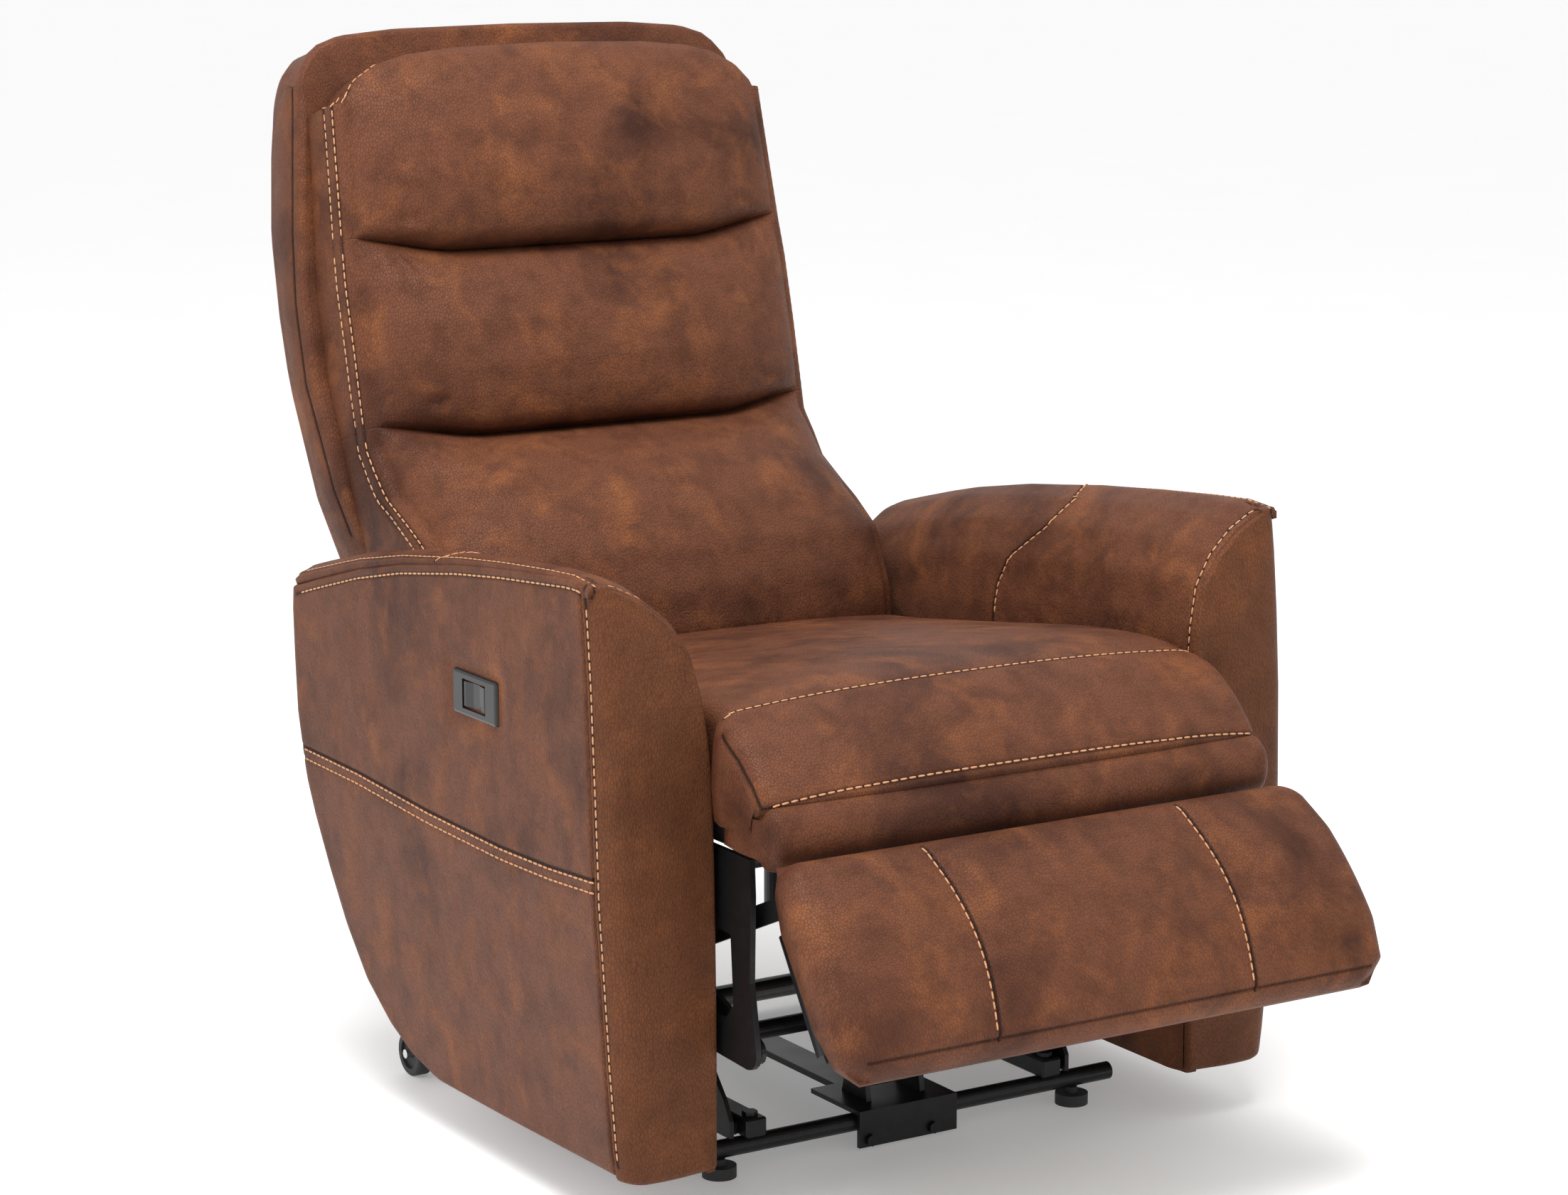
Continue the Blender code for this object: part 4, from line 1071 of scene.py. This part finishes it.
def pad_section(share):
    """A line round an arm's pad at a share of its length, over its top and down its inner face."""
    y_level = PAD_FRONT + (PAD_REAR - PAD_FRONT) * share
    lift = read(TOP_SEAM, y_level) - SEAM_Z
    skin = resampled([(x, 0.0, z) for x, z in WELT[::-1]], WELT_STEP)
    places = stations(0.68, 0.006, 0.0018, 0.01) * (len(skin) - 1)
    spots = skin[np.round(places).astype(int)]
    from_seam = places * WELT_STEP
    z = spots[:, 2] + lift * smooth((spots[:, 2] - 0.2) / 0.28)
    swell = read(CROWN, y_level)
    bulge = swell * np.sin(np.clip(from_seam / 0.2, 0.0, 1.0) ** 0.75 * pi) ** 0.8
    angle = np.interp(from_seam, (0.0, 0.1, 0.17, 0.22), (1.45, 1.1, 0.45, 0.0))
    x = spots[:, 0] - bulge * np.cos(angle) * 0.45
    z = z + bulge * np.sin(angle)
    inner_wall = INNER_WALL - 0.004 * smooth((share - 0.015) / 0.06)
    x = np.maximum(x, inner_wall)
    x = np.where(from_seam > 0.24, np.minimum(x, inner_wall), x)
    front = along(FRONT_LINE, np.clip(z, 0.05, 0.64)) + 0.0035
    rear = along(REAR_LINE, np.clip(z, 0.05, 0.56)) - 0.001
    y = front + (rear - front) * share
    return np.stack([x, y, z], axis=-1)


def build_arm_pad(word, sign):
    outer = np.array([pad_section(share) for share in stations(0.66, 0.006, 0.0018, 0.012)])
    outer[..., 0] *= sign
    normals = grid_normals(outer)
    if normals[:, 6, 2].mean() < 0:
        normals = -normals
    outer = rolled(outer, normals, EDGE_ROLL, ("first_row", "first_column"))
    outer = rolled(outer, normals, 0.020, ("last_row",))
    inner = outer - normals * 0.008
    piece = pad(f"arm_{word}_top", outer, inner, LEATHER, "seat")
    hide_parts(f"arm_pad_{word}", f"arm_frame_{word}")
    return piece


# ---- sewing
BAND = ((-0.088, 0.353), (0.0, 0.3475), (0.1, 0.345), (0.2525, 0.348), (0.4145, 0.356), (0.548, 0.358))


def line_on_side(sign, spots):
    """A line of (y, z) spots on an arm's outer side."""
    return [(sign * 0.4095, y, z) for y, z in spots]


def sew_arms(sign, side, front, top):
    """The seams of one arm."""
    flip = sign > 0
    seam_top = [(y, read(TOP_SEAM, y)) for y in np.linspace(-0.085, 0.545, 40)]
    above = [(sign * 0.4005, y, z + 0.002 + 0.38 * read(CROWN, y)) for y, z in seam_top]
    seam(top, above, TOPSTITCH, (0.0,), flip, fine=1)
    below = line_on_side(sign, [(y, z - 0.01) for y, z in seam_top if y > -0.07])
    seam(side, below, TOPSTITCH, (0.0,), flip, fine=1)
    seam(side, line_on_side(sign, BAND), THIN, (-2.6,), flip)
    lower = [(y, z - 0.013) for y, z in BAND]
    seam(side, line_on_side(sign, lower), TOPSTITCH, (0.0,), flip, dark=0.2, fine=1)
    upright = []
    for z in np.linspace(0.075, 0.615, 30):
        y = read(FRONT_LINE, z) + CORNER - 0.0075
        upright.append((sign * read(OUTER_WIDTH, z), y, z))
    seam(front, upright, TOPSTITCH, (0.0,), flip, fine=1)


def sew_arm_top(sign, top):
    """The row behind the front welt and the seam that crosses the pad."""
    flip = sign > 0
    spots = resampled([(x, 0.0, z) for x, z in WELT], 0.006)
    welt = [(sign * x, read(FRONT_LINE, z) + 0.0125, z) for x, _, z in spots if z > 0.36]
    seam(top, welt, TOPSTITCH, (0.0,), flip, fine=1)
    cross = ((0.408, 0.234, 0.612), (0.372, 0.212, 0.636), (0.335, 0.19, 0.628), (0.3, 0.2, 0.592),
             (0.285, 0.238, 0.554), (0.284, 0.254, 0.512), (0.284, 0.257, 0.47))
    seam(top, [(sign * x, y, z) for x, y, z in cross], THIN, (3.4,), flip)


def sew_seat(seat):
    """Two rows of stitches along the seat's front edge and a seam at each end of it."""
    shares = np.linspace(-0.286, 0.286, 40)
    upper = [(x, -0.112, 0.512) for x in shares]
    lower = [(x, -0.213, 0.4435 - 0.008 * (x / 0.29) ** 4) for x in shares]
    seam(seat, upper, TOPSTITCH, (0.0,), fine=1)
    seam(seat, lower, TOPSTITCH, (0.0,), fine=1)
    edge = ((-0.13, 0.488), (-0.16, 0.47), (-0.185, 0.449), (-0.203, 0.428))
    for sign in (-1.0, 1.0):
        seam(seat, [(sign * 0.296, y, z) for y, z in edge], THIN)


def sew_footrest(piece):
    """The footrest's two curved seams and its hem."""
    for sign in (-1.0, 1.0):
        downs = np.linspace(0.006, 0.212, 24)
        path = [tuple(foot_space(foot_seam(sign, d), d, -0.012)) for d in downs]
        seam(piece, path, THIN, (3.6,))
    hem = [tuple(foot_space(x, 0.209, -0.004)) for x in np.linspace(-0.29, 0.29, 30)]
    seam(piece, hem, THIN, dark=0.6)


def sew_boxing(sign, piece, low, high):
    """Two rows of stitches along a back cushion's boxing."""
    for behind in (0.01, 0.027):
        path = []
        for s in np.linspace(low, high, 16):
            x = sign * read(CUSHION_WIDTH, s)
            path.append(tuple(back_space(x, s, read(STITCHED_EDGE, s) + behind)))
        seam(piece, path, THIN, (0.0,), fine=1)


def pinch(piece, start, end):
    """A soft fold between two (x, s) spots, pressed in and darkened with painted shade, which fades out at
    both ends.
    """
    path = []
    for t in np.linspace(0, 1, 8):
        x = start[0] + (end[0] - start[0]) * t
        s = start[1] + (end[1] - start[1]) * t
        path.append(tuple(back_space(x, s, -0.03)))
    seam(piece, path, PINCH, fade=0.03, dark=0.25, fine=1)


def sew_back(head, middle, lumbar, shell):
    """The rows along the back cushions' edges, the pinches at its channels and the shell's welt."""
    for sign in (-1.0, 1.0):
        sew_boxing(sign, lumbar, -0.15, -0.004)
        sew_boxing(sign, middle, 0.006, 0.203)
        sew_boxing(sign, head, 0.213, 0.385)
        for level, upper, lower in ((UPPER_CHANNEL, head, middle), (LOWER_CHANNEL, middle, lumbar)):
            for reach, rise in ((0.04, -0.052), (0.062, -0.028), (0.018, -0.066)):
                pinch(lower, (sign * 0.238, level - 0.006), (sign * (0.238 - reach), level + rise))
            pinch(upper, (sign * 0.245, level + 0.004), (sign * 0.185, level + 0.02))
    across = np.linspace(-0.262, 0.262, 40)
    top = [(x, read(TOP_OF_CUSHION, abs(x)) + 0.002, -0.006) for x in across]
    seam(head, [tuple(back_space(*spot)) for spot in top], THIN, (0.0,), fine=1)
    over = [(x, read(TOP_OF_SHELL, abs(x)), 0.066) for x in across]
    sides = []
    for s in np.linspace(-0.1, 0.39, 30):
        sides.append((read(SHELL_WIDTH, s), s, read(BOXING_END, s) + 0.019))
    round_line = [(-x, s, n) for x, s, n in sides] + over + sides[::-1]
    seam(shell, [tuple(back_space(*spot)) for spot in round_line], THIN)


# ---- putting it together
def build_core(word, sign):
    """The hidden body of an arm, which closes it below."""
    rings = []
    for z in (0.056, 0.1, 0.18, 0.28, 0.38):
        front = read(FRONT_LINE, z) + 0.012
        rear = read(REAR_LINE, z) - 0.014
        corners = ((0.292, front), (0.38, front), (0.38, rear), (0.292, rear))
        rings.append([(sign * x, y, z) for x, y in corners])
    return ring_pad(f"arm_{word}_core", np.array(rings), LEATHER_SHADED, "seat", "leather_shade")


def build_all():
    pieces = []
    for word, sign in SIDES:
        side = build_side_panel(word, sign)
        front = build_front_panel(word, sign)
        top = build_arm_pad(word, sign)
        sew_arms(sign, side, front, top)
        sew_arm_top(sign, top)
        pieces += [side, front, top, build_core(word, sign)]
    back = build_back()
    shell = build_shell()
    sew_back(*back, shell)
    seat, apron = build_seat()
    sew_seat(seat)
    footrest = build_footrest()
    sew_footrest(footrest)
    return pieces + back + [shell, seat, apron, footrest]


def paint_frame():
    """Gives every CAD piece that shows its material."""
    by_slot = {
        "black_steel": BLACK_STEEL,
        "bright_steel": ZINC,
        "rubber": RUBBER,
        "motor_black": MOTOR,
        "board": BOARD,
        "grey_plastic": GREY_PLASTIC,
        "switch_black": GLOSS,
        "leather": LEATHER,
        "leather_shade": LEATHER_SHADED,
    }
    for part in frame["record"]["subparts"]:
        node = frame["nodes"][part["node"]]
        node.data.materials.clear()
        node.data.materials.append(by_slot[part["material_slot"]])
    for name in ("seat_front_rail", "seat_deck"):
        lined = frame["nodes"][name]
        lined.data.materials.clear()
        lined.data.materials.append(LINING)


def add_stage():
    """A wide pale floor, so that the chair can be seen from every side."""
    reach = 60.0
    corners = [(-reach, -reach, 0.0), (reach, -reach, 0.0), (reach, reach, 0.0), (-reach, reach, 0.0)]
    mesh = bpy.data.meshes.new("floor")
    mesh.from_pydata(corners, [], [(0, 1, 2, 3)])
    floor = bpy.data.objects.new("floor", mesh)
    bpy.context.scene.collection.objects.link(floor)
    n = Nodes("paper")
    n.feed("Base Color", n.ramp(n.noise(3.0), (0.3, grey(0.93)), (0.7, grey(0.95))))
    n.set("Roughness", 0.6)
    n.set("Emission Color", (1.0, 1.0, 1.0, 1.0))
    n.set("Emission Strength", 0.2)
    mesh.materials.append(n.material)


def add_light(name, place, target, size, power):
    data = bpy.data.lights.new(name, "AREA")
    data.shape = "RECTANGLE"
    data.size, data.size_y = size
    data.energy = power
    light = bpy.data.objects.new(name, data)
    light.location = place
    light.rotation_euler = (Vector(target) - Vector(place)).to_track_quat("-Z", "Y").to_euler()
    bpy.context.scene.collection.objects.link(light)


def add_lights():
    """Soft light from all round, a key light above and a weaker one from the side."""
    world = bpy.data.worlds.new("studio")
    world.use_nodes = True
    background = world.node_tree.nodes["Background"]
    background.inputs["Color"].default_value = (1.0, 1.0, 1.0, 1.0)
    background.inputs["Strength"].default_value = 0.8
    bpy.context.scene.world = world
    bpy.context.scene.view_settings.view_transform = "Standard"
    add_light("key", (-0.7, -0.9, 3.6), (0.0, 0.1, 0.5), (2.0, 2.0), 125.0)
    add_light("fill", (-3.6, -0.2, 1.7), (0.0, 0.2, 0.5), (2.0, 2.4), 30.0)


PIECES = build_all()
PIECES += sew(THREAD)
for piece in PIECES:
    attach(piece, piece["body"])
paint_frame()
add_stage()
add_lights()
